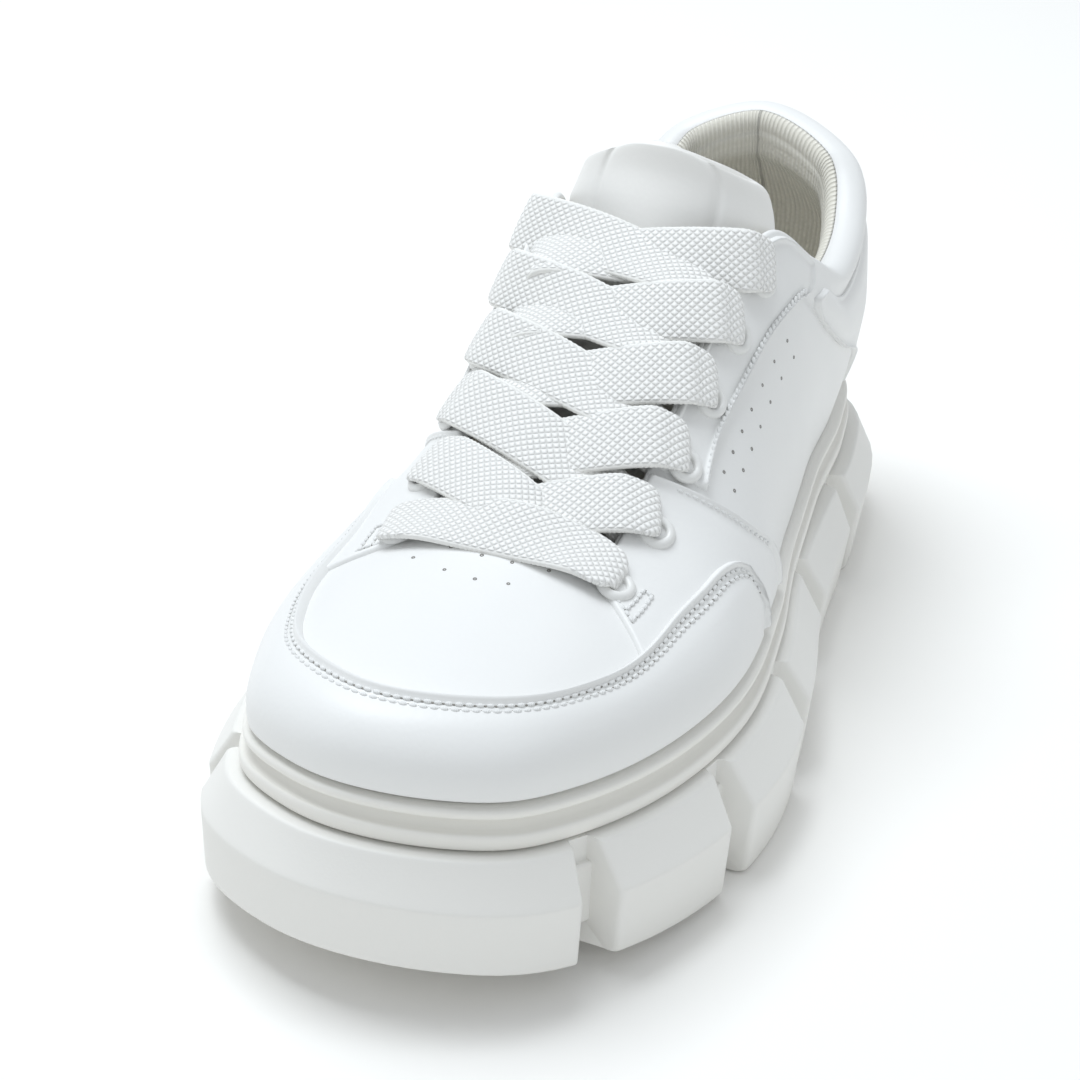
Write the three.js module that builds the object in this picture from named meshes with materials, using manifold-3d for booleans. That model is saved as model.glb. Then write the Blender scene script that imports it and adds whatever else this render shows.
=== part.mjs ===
// Platform sneaker, left shoe. Millimetres, +Z up. The toe points to -Y and the outer side
// of the foot to +X. The shoe stands on z = 0, and the sole is centred on the origin.

import * as THREE from 'three';
import Module from 'manifold-3d';

const wasm = await Module();
wasm.setup();

// Sole
const soleLength = 280;
const ballWidth = 121;
const heelWidth = 90;
const lugHeight = 29;
const creaseHeight = 19;
const rimHeight = 10;
const toeSpring = 9;
const toeLift = 3.8;
const springReach = 90;
const toeTuck = 0.4;
const heelTuck = 2.6;
const footRound = 1.2;
const bevelDepth = 6;
const topRound = 1.2;
const gapMouth = 10;
const gapFloor = 6.5;
const gapDepth = 7.5;
const shelfDrop = 6;
const shelfStep = 1.5;
const treadDepth = 6;

// Upper
const heelRise = 70;
const throatWidth = 38;
const featherInset = 12;
const wall = 2;
const overlay = 1.2;
const guardOverlay = 1.6;

// Tongue, insole, eyelets and lace
const tongueWidth = 58;
const tongueShift = -3;
const tongueThickness = 5;
const insoleThickness = 3;
const eyeletRadius = 4.4;
const eyeletBore = 2.2;
const eyeletHeight = 1.2;
const eyeletInset = 7.5;
const eyeletsPerSide = 6;
const laceWidth = 14.5;
const laceThickness = 1.8;

// Gap that pieces lying on each other keep
const seat = 0.3;

const rimTop = lugHeight + seat + rimHeight;

// Outline of the sole at the crease. along is a share of the sole's length from the toe.
// outer and inner are half widths: shares of the ball width ahead of the waist, and of the
// heel width behind it.
const waistAlong = 0.5;
const plan = [
  { along: 0.000, outer: -0.058, inner: 0.058 },
  { along: 0.012, outer: 0.112, inner: 0.190 },
  { along: 0.050, outer: 0.270, inner: 0.332 },
  { along: 0.120, outer: 0.382, inner: 0.418 },
  { along: 0.220, outer: 0.469, inner: 0.486 },
  { along: 0.340, outer: 0.508, inner: 0.500 },
  { along: 0.460, outer: 0.474, inner: 0.440 },
  { along: 0.580, outer: 0.548, inner: 0.490 },
  { along: 0.700, outer: 0.495, inner: 0.490 },
  { along: 0.820, outer: 0.460, inner: 0.518 },
  { along: 0.920, outer: 0.372, inner: 0.450 },
  { along: 0.980, outer: 0.175, inner: 0.275 },
  { along: 1.000, outer: -0.050, inner: 0.050 },
];

// Places of the square gaps between the lugs, as shares of the sole's length.
const gaps = [
  { outer: 0.105, inner: 0.108 },
  { outer: 0.262, inner: 0.260 },
  { outer: 0.425, inner: 0.415 },
  { outer: 0.593, inner: 0.590 },
  { outer: 0.755, inner: 0.752 },
];

// Side of the rim above the lugs: two rails with a sloped channel between them.
// rise is a share of the rim's height, inset a share of the lugs' bevel depth.
const rimProfile = [
  { rise: 0.00, inset: 1.56 },
  { rise: 0.05, inset: 1.43 },
  { rise: 0.14, inset: 1.38 },
  { rise: 0.36, inset: 1.38 },
  { rise: 0.46, inset: 1.50 },
  { rise: 0.54, inset: 1.70 },
  { rise: 0.64, inset: 1.76 },
  { rise: 0.74, inset: 1.72 },
  { rise: 0.82, inset: 1.57 },
  { rise: 0.92, inset: 1.57 },
  { rise: 1.00, inset: 1.84 },
];

// Opening of the upper: throat, then collar. at is the place along the feather edge, from
// toe to heel, that each row rises from. along is a share of the sole's length. outer and
// inner are shares of half the throat width, rise a share of the heel's rise. turn and lift
// are the angles at which the skin arrives there: turn from straight inwards towards the
// heel, lift above level. lean is the skin's outward tilt at the feather edge. foot and head
// are the reach of the curve's two ends, as shares of its chord.
const opening = [
  {
    at: 0.00, along: 0.284, outer: 0.00, inner: 0.00, rise: 0.408,
    turn: 90, lift: 14, lean: 14, foot: 0.34, head: 0.50,
  },
  {
    at: 0.08, along: 0.285, outer: 0.36, inner: 0.36, rise: 0.404,
    turn: 84, lift: 14, lean: 14, foot: 0.34, head: 0.48,
  },
  {
    at: 0.17, along: 0.289, outer: 0.78, inner: 0.78, rise: 0.388,
    turn: 62, lift: 15, lean: 13, foot: 0.34, head: 0.46,
  },
  {
    at: 0.26, along: 0.303, outer: 1.04, inner: 1.04, rise: 0.372,
    turn: 30, lift: 22, lean: 9, foot: 0.38, head: 0.42,
  },
  {
    at: 0.36, along: 0.352, outer: 1.07, inner: 1.15, rise: 0.440,
    turn: 14, lift: 30, lean: 6, foot: 0.38, head: 0.38,
  },
  {
    at: 0.46, along: 0.424, outer: 1.06, inner: 1.26, rise: 0.600,
    turn: 8, lift: 40, lean: 4, foot: 0.36, head: 0.36,
  },
  {
    at: 0.55, along: 0.502, outer: 1.06, inner: 1.36, rise: 0.780,
    turn: 4, lift: 46, lean: 4, foot: 0.34, head: 0.34,
  },
  {
    at: 0.615, along: 0.576, outer: 1.10, inner: 1.50, rise: 0.945,
    turn: 0, lift: 52, lean: 4, foot: 0.33, head: 0.33,
  },
  {
    at: 0.66, along: 0.632, outer: 1.30, inner: 1.62, rise: 1.010,
    turn: 0, lift: 62, lean: 6, foot: 0.33, head: 0.33,
  },
  {
    at: 0.71, along: 0.688, outer: 1.60, inner: 1.74, rise: 0.840,
    turn: 0, lift: 72, lean: 9, foot: 0.33, head: 0.33,
  },
  {
    at: 0.78, along: 0.762, outer: 1.72, inner: 1.78, rise: 0.680,
    turn: -8, lift: 78, lean: 13, foot: 0.34, head: 0.33,
  },
  {
    at: 0.85, along: 0.842, outer: 1.58, inner: 1.72, rise: 0.740,
    turn: -22, lift: 76, lean: 16, foot: 0.36, head: 0.33,
  },
  {
    at: 0.92, along: 0.908, outer: 1.10, inner: 1.42, rise: 0.895,
    turn: -48, lift: 74, lean: 17, foot: 0.38, head: 0.33,
  },
  {
    at: 1.00, along: 0.944, outer: -0.24, inner: 0.24, rise: 0.985,
    turn: -90, lift: 72, lean: 17, foot: 0.38, head: 0.33,
  },
];

// How the insets vary round the shoe, as shares: rim for the rim and the feather edge, bevel
// for the top of the lugs. at is the place on the loop.
const insetShares = [
  { at: 0.00, rim: 1.04, bevel: 0.93 },
  { at: 0.30, rim: 1.05, bevel: 1.00 },
  { at: 0.44, rim: 1.05, bevel: 1.00 },
  { at: 0.53, rim: 0.97, bevel: 1.00 },
  { at: 0.61, rim: 0.88, bevel: 0.98 },
  { at: 0.72, rim: 0.98, bevel: 0.82 },
  { at: 0.86, rim: 0.95, bevel: 0.80 },
  { at: 1.00, rim: 0.95, bevel: 0.85 },
];

const radians = (degrees) => degrees * Math.PI / 180;
const mix = (a, b, share) => a + (b - a) * share;
const lengthAt = (along) => (along - 0.5) * soleLength;

const toeReach = (y) => Math.max(0, 1 - (y + soleLength / 2) / springReach);
const springAt = (y) => toeSpring * toeReach(y) ** 2;

// Height of the tread, which rises a little faster towards the toe than the sole's top.
const treadAt = (y) => springAt(y) + toeLift * toeReach(y);

// Smooth curve through the rows of a table, at any place along one of its columns. A curve
// with flat ends meets its own mirror image without a crease.
function tableValue(rows, key, column, place, flatEnds = true) {
  const last = rows.length - 1;
  let k = 0;
  while (k < last - 1 && rows[k + 1][key] < place) k += 1;
  const slope = (i) => {
    if (flatEnds && (i === 0 || i === last)) return 0;
    const before = rows[Math.max(i - 1, 0)];
    const after = rows[Math.min(i + 1, last)];
    return (after[column] - before[column]) / (after[key] - before[key]);
  };
  const span = rows[k + 1][key] - rows[k][key];
  const s = THREE.MathUtils.clamp((place - rows[k][key]) / span, 0, 1);
  const start = (1 + 2 * s) * (1 - s) * (1 - s) * rows[k][column];
  const end = s * s * (3 - 2 * s) * rows[k + 1][column];
  const bendStart = s * (1 - s) * (1 - s) * span * slope(k);
  const bendEnd = s * s * (s - 1) * span * slope(k + 1);
  return start + end + bendStart + bendEnd;
}

// Outline of the sole as a closed curve from the toe, along the outer side, round the heel.
function planPoint(row, share) {
  const width = row.along < waistAlong ? ballWidth : heelWidth;
  return new THREE.Vector3(share * width, lengthAt(row.along), 0);
}

const outerPlan = plan.map((row) => planPoint(row, row.outer));
const innerPlan = plan.slice(1, -1).reverse().map((row) => planPoint(row, -row.inner));
const planCurve = new THREE.CatmullRomCurve3([...outerPlan, ...innerPlan], true, 'centripetal');
const heelOnCurve = (plan.length - 1) / (outerPlan.length + innerPlan.length);

// The two sides of the outline, each measured by its own length from toe to heel.
function measureSide(from, to) {
  const steps = 400;
  const samples = [];
  let length = 0;
  for (let i = 0; i <= steps; i += 1) {
    const point = planCurve.getPoint(mix(from, to, i / steps) % 1);
    if (i > 0) length += point.distanceTo(samples[i - 1].point);
    samples.push({ point, length });
  }
  return samples.map((sample) => ({ point: sample.point, at: sample.length / length }));
}

const outerSide = measureSide(0, heelOnCurve);
const innerSide = measureSide(1, heelOnCurve);

function sidePoint(samples, at) {
  const place = THREE.MathUtils.clamp(at, 0, 1);
  let low = 0;
  let high = samples.length - 1;
  while (high - low > 1) {
    const middle = (low + high) >> 1;
    if (samples[middle].at > place) high = middle;
    else low = middle;
  }
  const share = (place - samples[low].at) / (samples[high].at - samples[low].at);
  return samples[low].point.clone().lerp(samples[high].point, share);
}

// Places on the loop round the shoe: 0 at the toe, 1 at the heel, outer side positive and
// inner side negative. Past the heel the loop goes on along the other side.
function loopPoint(place) {
  let wrapped = place;
  if (wrapped > 1) wrapped -= 2;
  if (wrapped < -1) wrapped += 2;
  return wrapped >= 0 ? sidePoint(outerSide, wrapped) : sidePoint(innerSide, -wrapped);
}

function loopNormal(place) {
  const step = 0.004;
  const along = loopPoint(place + step).sub(loopPoint(place - step)).normalize();
  return new THREE.Vector3(along.y, -along.x, 0);
}

function edgePoint(place, inset, height) {
  const point = loopPoint(place).addScaledVector(loopNormal(place), -inset);
  point.z = height + springAt(point.y);
  return point;
}

function insetShare(place, column) {
  const at = Math.abs(place);
  return tableValue(insetShares, 'at', column, at > 1 ? 2 - at : at);
}

function rimPoint(place, inset, height) {
  return edgePoint(place, inset * insetShare(place, 'rim'), height);
}

function loopPlaces(perSide) {
  return Array.from({ length: 2 * perSide }, (_, i) => -1 + (i + 1) / perSide);
}

// Collects the triangles of one closed piece.
function createShell() {
  const points = [];
  const faces = [];
  return {
    points,
    faces,
    addRow(row) {
      row.forEach((point) => points.push(point));
      return points.length - row.length;
    },
    addQuad(a, b, c, d) {
      faces.push([a, b, c], [a, c, d]);
    },
  };
}

function shellVolume({ points, faces }) {
  const cross = new THREE.Vector3();
  return faces.reduce((sum, [a, b, c]) => sum + points[a].dot(cross.crossVectors(points[b], points[c])) / 6, 0);
}

function shellGeometry(shell) {
  const outward = shellVolume(shell) > 0;
  const geometry = new THREE.BufferGeometry().setFromPoints(shell.points);
  geometry.setIndex(shell.faces.flatMap(([a, b, c]) => (outward ? [a, b, c] : [a, c, b])));
  return geometry;
}

// A stack of rings round the shoe, closed by a flat floor and ceiling.
function stackGeometry(rings) {
  const shell = createShell();
  const count = rings[0].length;
  const starts = rings.map((ring) => shell.addRow(ring));
  for (let r = 0; r + 1 < rings.length; r += 1) {
    for (let i = 0; i < count; i += 1) {
      const j = (i + 1) % count;
      shell.addQuad(starts[r] + i, starts[r] + j, starts[r + 1] + j, starts[r + 1] + i);
    }
  }
  addLid(shell, starts[0], count, true);
  addLid(shell, starts[rings.length - 1], count, false);
  return shellGeometry(shell);
}

// Closes a ring with rungs from its inner side to its outer side. The ring runs from just
// past the heel along the inner side, over the toe in its middle, and ends at the heel.
function addLid(shell, start, count, down) {
  const toe = count / 2 - 1;
  const outer = (i) => start + toe + i;
  const inner = (i) => start + (toe - i + count) % count;
  for (let i = 0; i < count / 2; i += 1) {
    const rung = [outer(i), outer(i + 1), inner(i + 1), inner(i)];
    const corners = rung.filter((corner, k) => rung.indexOf(corner) === k);
    const faces = corners.length === 4
      ? [[corners[0], corners[1], corners[2]], [corners[0], corners[2], corners[3]]]
      : [corners];
    faces.forEach(([a, b, c]) => shell.faces.push(down ? [a, c, b] : [a, b, c]));
  }
}

function rimRing(places, inset, height) {
  return places.map((place) => rimPoint(place, inset, height));
}

function bevelRing(places, inset, height) {
  return places.map((place) => edgePoint(place, inset * insetShare(place, 'bevel'), height));
}

// The foot of the lugs stands in from the crease, further at the heel than at the toe.
function footRing(places, inset, height) {
  return places.map((place) => {
    const { y } = loopPoint(place);
    const point = edgePoint(place, inset + mix(toeTuck, heelTuck, y / soleLength + 0.5), 0);
    return point.setZ(treadAt(point.y) + height);
  });
}

function toManifold(geometry) {
  const vertProperties = new Float32Array(geometry.getAttribute('position').array);
  const triVerts = new Uint32Array(geometry.getIndex().array);
  return new wasm.Manifold(new wasm.Mesh({ numProp: 3, vertProperties, triVerts }));
}

const meshTolerance = 0.04;

function fromManifold(manifold) {
  const { vertProperties, triVerts, numProp } = manifold.simplify(meshTolerance).getMesh();
  const positions = new Float32Array(vertProperties.length / numProp * 3);
  for (let i = 0; i < positions.length / 3; i += 1) {
    for (let k = 0; k < 3; k += 1) positions[3 * i + k] = vertProperties[numProp * i + k];
  }
  const geometry = new THREE.BufferGeometry();
  geometry.setAttribute('position', new THREE.BufferAttribute(positions, 3));
  geometry.setIndex([...triVerts]);
  return geometry;
}

// A bar as a closed shell: length along X from 0, heights from low to high. Its width across
// Y goes from the first to the second.
function barSolid(length, [startWidth, endWidth], low, high, matrix) {
  const corners = [low, high].flatMap((z) => [
    new THREE.Vector3(0, -startWidth / 2, z),
    new THREE.Vector3(length, -endWidth / 2, z),
    new THREE.Vector3(length, endWidth / 2, z),
    new THREE.Vector3(0, startWidth / 2, z),
  ]);
  const shell = createShell();
  shell.addRow(corners.map((corner) => corner.applyMatrix4(matrix)));
  shell.addQuad(0, 3, 2, 1);
  shell.addQuad(4, 5, 6, 7);
  for (let i = 0; i < 4; i += 1) shell.addQuad(i, (i + 1) % 4, 4 + (i + 1) % 4, 4 + i);
  return toManifold(shellGeometry(shell));
}

function placeOnSide(side, along) {
  const y = lengthAt(along);
  const samples = side > 0 ? outerSide : innerSide;
  const sample = samples.find((candidate) => candidate.point.y >= y);
  return side * sample.at;
}

const solePlaces = 29;

// Outsole: a slab whose side is bevelled above and below the crease. Gaps that narrow
// inwards part the lugs, and a groove crosses the tread from each gap to its partner.
function outsoleGeometry() {
  const places = loopPlaces(solePlaces);
  const slab = stackGeometry([
    footRing(places, footRound, 0),
    footRing(places, 0, footRound),
    bevelRing(places, 0, creaseHeight),
    bevelRing(places, bevelDepth, lugHeight - topRound),
    bevelRing(places, bevelDepth + topRound, lugHeight),
  ]);
  const clear = 5;
  const overlap = 1;
  const above = lugHeight + toeSpring + clear;
  const taper = (gapMouth - gapFloor) / gapDepth;
  const gapWidth = (depth) => gapMouth - taper * depth;
  const notch = (side, along) => {
    const place = placeOnSide(side, along);
    const inward = loopNormal(place).negate();
    const turn = new THREE.Matrix4().makeRotationZ(Math.atan2(inward.y, inward.x));
    const outside = loopPoint(place).addScaledVector(inward, -clear);
    const matrix = new THREE.Matrix4().setPosition(outside).multiply(turn);
    const shelf = lugHeight - shelfDrop + springAt(outside.y);
    const bar = (depth, low) => (
      barSolid(clear + depth, [gapWidth(-clear), gapWidth(depth)], low, above, matrix)
    );
    return {
      end: loopPoint(place).addScaledVector(inward, gapDepth - overlap),
      bars: [bar(gapDepth, -clear), bar(gapDepth + shelfStep, shelf)],
    };
  };
  const cuts = gaps.flatMap((gap) => {
    const outer = notch(1, gap.outer);
    const inner = notch(-1, gap.inner);
    const across = inner.end.clone().sub(outer.end);
    const turn = new THREE.Matrix4().makeRotationZ(Math.atan2(across.y, across.x));
    const matrix = new THREE.Matrix4().setPosition(outer.end).multiply(turn);
    const deep = treadDepth + treadAt((outer.end.y + inner.end.y) / 2);
    const groove = barSolid(across.length(), [gapFloor, gapFloor], -clear, deep, matrix);
    return [...outer.bars, ...inner.bars, groove];
  });
  return fromManifold(cuts.reduce((solid, cut) => solid.subtract(cut), toManifold(slab)));
}

function midsoleGeometry() {
  const places = loopPlaces(solePlaces);
  const floor = lugHeight + seat;
  return stackGeometry(rimProfile.map((row) => rimRing(places, row.inset * bevelDepth, floor + row.rise * rimHeight)));
}

// Skin of the upper. Each place on the loop has a curve from the feather edge to the
// opening; up is the share of that curve.
const openingColumns = ['along', 'rise', 'turn', 'lift', 'lean', 'foot', 'head'];

function openingRow(place) {
  const side = place >= 0 ? 1 : -1;
  const at = Math.abs(place);
  const row = Object.fromEntries(openingColumns.map((name) => [name, tableValue(opening, 'at', name, at)]));
  const width = tableValue(opening, 'at', side > 0 ? 'outer' : 'inner', at, false);
  const turn = radians(row.turn);
  const lift = radians(row.lift);
  const level = new THREE.Vector3(-side * Math.cos(turn), Math.sin(turn), 0).multiplyScalar(Math.cos(lift));
  return {
    ...row,
    edge: new THREE.Vector3(
      side * width * throatWidth / 2 + toeLine(row.along),
      lengthAt(row.along),
      rimTop + row.rise * heelRise,
    ),
    arrival: level.setZ(Math.sin(lift)),
  };
}

// Middle line of the last, which swings to the inner side at the toe.
function toeLine(along) {
  return plan[0].outer * ballWidth * Math.max(0, 1 - along / waistAlong) ** 2;
}

function skinPoint(place, up) {
  let wrapped = place;
  if (wrapped > 1) wrapped -= 2;
  if (wrapped < -1) wrapped += 2;
  const row = openingRow(wrapped);
  const base = rimPoint(wrapped, featherInset, rimTop + seat);
  const chord = base.distanceTo(row.edge);
  const lean = radians(row.lean);
  const departure = loopNormal(wrapped).multiplyScalar(Math.sin(lean)).setZ(Math.cos(lean));
  const low = base.clone().addScaledVector(departure, row.foot * chord);
  const high = row.edge.clone().addScaledVector(row.arrival, -row.head * chord);
  const down = 1 - up;
  return base.multiplyScalar(down ** 3)
    .addScaledVector(low, 3 * up * down * down)
    .addScaledVector(high, 3 * up * up * down)
    .addScaledVector(row.edge, up ** 3);
}

function skinNormal(place, up) {
  const step = 0.01;
  const low = Math.max(0, up - step);
  const high = Math.min(1, up + step);
  const along = skinPoint(place + step, up).sub(skinPoint(place - step, up));
  const rise = skinPoint(place, high).sub(skinPoint(place, low));
  return along.cross(rise).normalize();
}

function skinOffset(place, up, distance) {
  return skinPoint(place, up).addScaledVector(skinNormal(place, up), distance);
}

const skinPlaces = loopPlaces(34);

function skinRings(grow) {
  const ups = Array.from({ length: 11 }, (_, i) => i / 10);
  return ups.map((up) => skinPlaces.map((place) => skinOffset(place, up, grow)));
}

// Upper: outer skin, inner skin one wall inside it, joined at the opening and underneath.
function upperGeometry() {
  const innerUps = Array.from({ length: 8 }, (_, i) => 1 - i / 7);
  const rows = [...skinRings(0), ...innerUps.map((up) => skinPlaces.map((place) => insidePoint(place, up)))];
  const shell = createShell();
  const starts = rows.map((row) => shell.addRow(row));
  const count = skinPlaces.length;
  starts.forEach((start, r) => {
    const next = starts[(r + 1) % starts.length];
    for (let i = 0; i < count; i += 1) {
      const j = (i + 1) % count;
      shell.addQuad(start + i, start + j, next + j, next + i);
    }
  });
  return shellGeometry(shell);
}

// The space that the upper takes up, filled, with the gap that pieces keep around it.
const sheetCutter = toManifold(stackGeometry(skinRings(seat)));

function insidePoint(place, up) {
  const point = skinOffset(place, up, -wall);
  if (up === 0) point.z = skinPoint(place, 0).z;
  return point;
}

// A sheet over a patch of the skin, between two distances from it. patch gives the place and
// the height of each point from two shares, across and up the sheet.
function sheetSolid(patch, across, rise, low, high) {
  const shell = createShell();
  const grid = (distance) => Array.from({ length: rise + 1 }, (_, r) => shell.addRow(
    Array.from({ length: across + 1 }, (_unused, a) => {
      const { place, up } = patch(a / across, r / rise);
      return skinOffset(place, up, distance);
    }),
  ));
  const inside = grid(low);
  const outside = grid(high);
  for (let r = 0; r < rise; r += 1) {
    for (let a = 0; a < across; a += 1) {
      shell.addQuad(outside[r] + a, outside[r] + a + 1, outside[r + 1] + a + 1, outside[r + 1] + a);
      shell.addQuad(inside[r] + a, inside[r + 1] + a, inside[r + 1] + a + 1, inside[r] + a + 1);
    }
    shell.addQuad(inside[r], outside[r], outside[r + 1], inside[r + 1]);
    shell.addQuad(inside[r] + across, inside[r + 1] + across, outside[r + 1] + across, outside[r] + across);
  }
  for (let a = 0; a < across; a += 1) {
    shell.addQuad(inside[0] + a, inside[0] + a + 1, outside[0] + a + 1, outside[0] + a);
    shell.addQuad(inside[rise] + a, outside[rise] + a, outside[rise] + a + 1, inside[rise] + a + 1);
  }
  return toManifold(shellGeometry(shell));
}

// Toe guard: its upper edge is level round the toe, peaks beside the ball and drops to the
// sole. at is the place on the loop, top the height on the skin.
const guardEdge = [
  { at: 0.00, top: 0.425 },
  { at: 0.10, top: 0.440 },
  { at: 0.20, top: 0.495 },
  { at: 0.30, top: 0.570 },
  { at: 0.36, top: 0.550 },
  { at: 0.41, top: 0.500 },
  { at: 0.435, top: 0.380 },
  { at: 0.450, top: 0.080 },
];
const guardEnd = guardEdge[guardEdge.length - 1].at;

// Height on the skin at which overlays start, just clear of the sole.
const sheetFoot = 0.02;

// Moves the two ends of a sheet apart and leaves its middle.
const endShift = (share) => share ** 9;

function guardPatch(grow = 0) {
  return (across, rise) => {
    const share = 2 * across - 1;
    const at = guardEnd * Math.abs(share);
    const place = guardEnd * share + grow * endShift(share);
    return { place, up: mix(sheetFoot - grow, tableValue(guardEdge, 'at', 'top', at) + grow, rise) };
  };
}

// Side panels. Each row gives one corner as a place on the loop and a height on the skin:
// front and rear corners at the sheet's foot, then at its top.
const sheetHead = 0.975;
const frontPanel = {
  footFront: { at: 0.253, up: sheetFoot },
  footRear: { at: 0.510, up: sheetFoot },
  topFront: { at: 0.222, up: sheetHead },
  topRear: { at: 0.420, up: sheetHead },
};
const eyestayPanel = {
  footFront: { at: 0.476, up: 0.63 },
  footRear: { at: 0.685, up: 0.79 },
  topFront: { at: 0.418, up: sheetHead },
  topRear: { at: 0.700, up: sheetHead },
};

// Front edge of the heel panel: height on the skin and place on the loop.
const heelEdge = [
  { up: 0.02, at: 0.690 },
  { up: 0.15, at: 0.755 },
  { up: 0.32, at: 0.795 },
  { up: 0.50, at: 0.800 },
  { up: 0.66, at: 0.760 },
  { up: 0.80, at: 0.712 },
  { up: 0.96, at: 0.712 },
];

// Gap between the edges of neighbouring sheets, as a share of the skin's height, and how
// many times larger it is as a share of a side panel's width.
const edgeGap = 0.010;
const panelGapShare = 3;

function cornerPatch(panel, side, grow = 0) {
  return (across, rise) => {
    const spread = across + panelGapShare * grow * endShift(2 * across - 1);
    const foot = mix(panel.footFront.at, panel.footRear.at, spread);
    const top = mix(panel.topFront.at, panel.topRear.at, spread);
    const low = mix(panel.footFront.up, panel.footRear.up, across) - grow;
    const high = mix(panel.topFront.up, panel.topRear.up, across) + grow;
    return { place: side * mix(foot, top, rise), up: mix(low, high, rise) };
  };
}

function heelPatch(across, rise) {
  const up = mix(heelEdge[0].up, heelEdge[heelEdge.length - 1].up, rise);
  const front = tableValue(heelEdge, 'up', 'at', up);
  return { place: mix(front, 2 - front, across), up };
}

const guardGrid = [34, 5];
const frontGrid = [10, 6];
const eyestayGrid = [14, 3];
const heelGrid = [18, 4];

function sheetGeometry(patch, grid, thickness, cutters = []) {
  const sheet = sheetSolid(patch, ...grid, -wall / 2, seat + thickness);
  return fromManifold([sheetCutter, ...cutters].reduce((solid, cutter) => solid.subtract(cutter), sheet));
}

function sheetZone(patch, grid) {
  return sheetSolid(patch, ...grid, -wall, wall + overlay);
}

// Tongue: rows from its front end under the vamp to its rounded top. along is a share of the
// sole's length, rise a share of the heel's rise, width a share of the tongue's width.
const tongueRows = [
  { along: 0.285, rise: 0.250, width: 0.54, thick: 0.4 },
  { along: 0.320, rise: 0.300, width: 0.74, thick: 0.6 },
  { along: 0.385, rise: 0.430, width: 0.86, thick: 0.7 },
  { along: 0.460, rise: 0.605, width: 0.90, thick: 0.8 },
  { along: 0.530, rise: 0.785, width: 0.90, thick: 1.0 },
  { along: 0.575, rise: 0.950, width: 0.88, thick: 1.1 },
  { along: 0.597, rise: 1.100, width: 0.90, thick: 1.3 },
  { along: 0.608, rise: 1.180, width: 0.88, thick: 1.3 },
  { along: 0.613, rise: 1.235, width: 0.70, thick: 1.0 },
  { along: 0.615, rise: 1.250, width: 0.42, thick: 0.5 },
];

// How far the tongue's edges fall, as a share of half its width, and how much thinner they are.
const tongueFall = 0.66;
const tongueTaper = 0.6;

function tongueGeometry() {
  const steps = 10;
  const shell = createShell();
  const rings = tongueRows.map((row, r) => {
    const before = tongueRows[Math.max(r - 1, 0)];
    const after = tongueRows[Math.min(r + 1, tongueRows.length - 1)];
    const slope = Math.atan2((after.rise - before.rise) * heelRise, (after.along - before.along) * soleLength);
    const half = row.width * tongueWidth / 2;
    const thick = row.thick * tongueThickness;
    const point = (share, depth) => {
      const x = share * half;
      const drop = tongueFall * x * x / (tongueWidth / 2) + depth * (1 - tongueTaper * share ** 4);
      return new THREE.Vector3(
        x + tongueShift * row.rise + toeLine(row.along),
        lengthAt(row.along) + drop * Math.sin(slope),
        rimTop + row.rise * heelRise - drop * Math.cos(slope),
      );
    };
    const shares = Array.from({ length: steps + 1 }, (_, i) => 2 * i / steps - 1);
    return shell.addRow([
      ...shares.map((share) => point(share, 0)),
      ...shares.slice().reverse().map((share) => point(share, thick)),
    ]);
  });
  const count = 2 * steps + 2;
  for (let r = 0; r + 1 < rings.length; r += 1) {
    for (let i = 0; i < count; i += 1) {
      const j = (i + 1) % count;
      shell.addQuad(rings[r] + i, rings[r] + j, rings[r + 1] + j, rings[r + 1] + i);
    }
  }
  [0, rings.length - 1].forEach((r) => {
    for (let i = 0; i < steps; i += 1) {
      const quad = [rings[r] + i, rings[r] + i + 1, rings[r] + count - 2 - i, rings[r] + count - 1 - i];
      shell.addQuad(...(r > 0 ? quad : quad.reverse()));
    }
  });
  return shellGeometry(shell);
}

// Insole: a flat bed that fills the upper's foot, clear of its wall.
const insoleClearance = 1.5;

function insoleGeometry() {
  const places = loopPlaces(24);
  const ring = (height) => places.map((place) => {
    const feather = rimPoint(place, featherInset, height);
    return feather.addScaledVector(loopNormal(place), -wall - insoleClearance);
  });
  return stackGeometry([ring(rimTop + seat), ring(rimTop + seat + insoleThickness)]);
}

// Eyelets: their rows follow the throat, from the first to the last.
const firstEyelet = 0.302;
const lastEyelet = 0.592;

function eyeletPlace(index) {
  const along = mix(firstEyelet, lastEyelet, index / (eyeletsPerSide - 1));
  let low = opening[1].at;
  let high = insetShares[5].at;
  for (let i = 0; i < 30; i += 1) {
    const middle = (low + high) / 2;
    if (tableValue(opening, 'at', 'along', middle) < along) low = middle;
    else high = middle;
  }
  return low;
}

// Height on the skin at a distance below the throat's edge.
function throatUp(place, distance) {
  const row = openingRow(place);
  const chord = rimPoint(place, featherInset, rimTop + seat).distanceTo(row.edge);
  return 1 - distance / (3 * row.head * chord);
}

const sheetTop = seat + overlay;
const eyeletSeat = 0.5;

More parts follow.
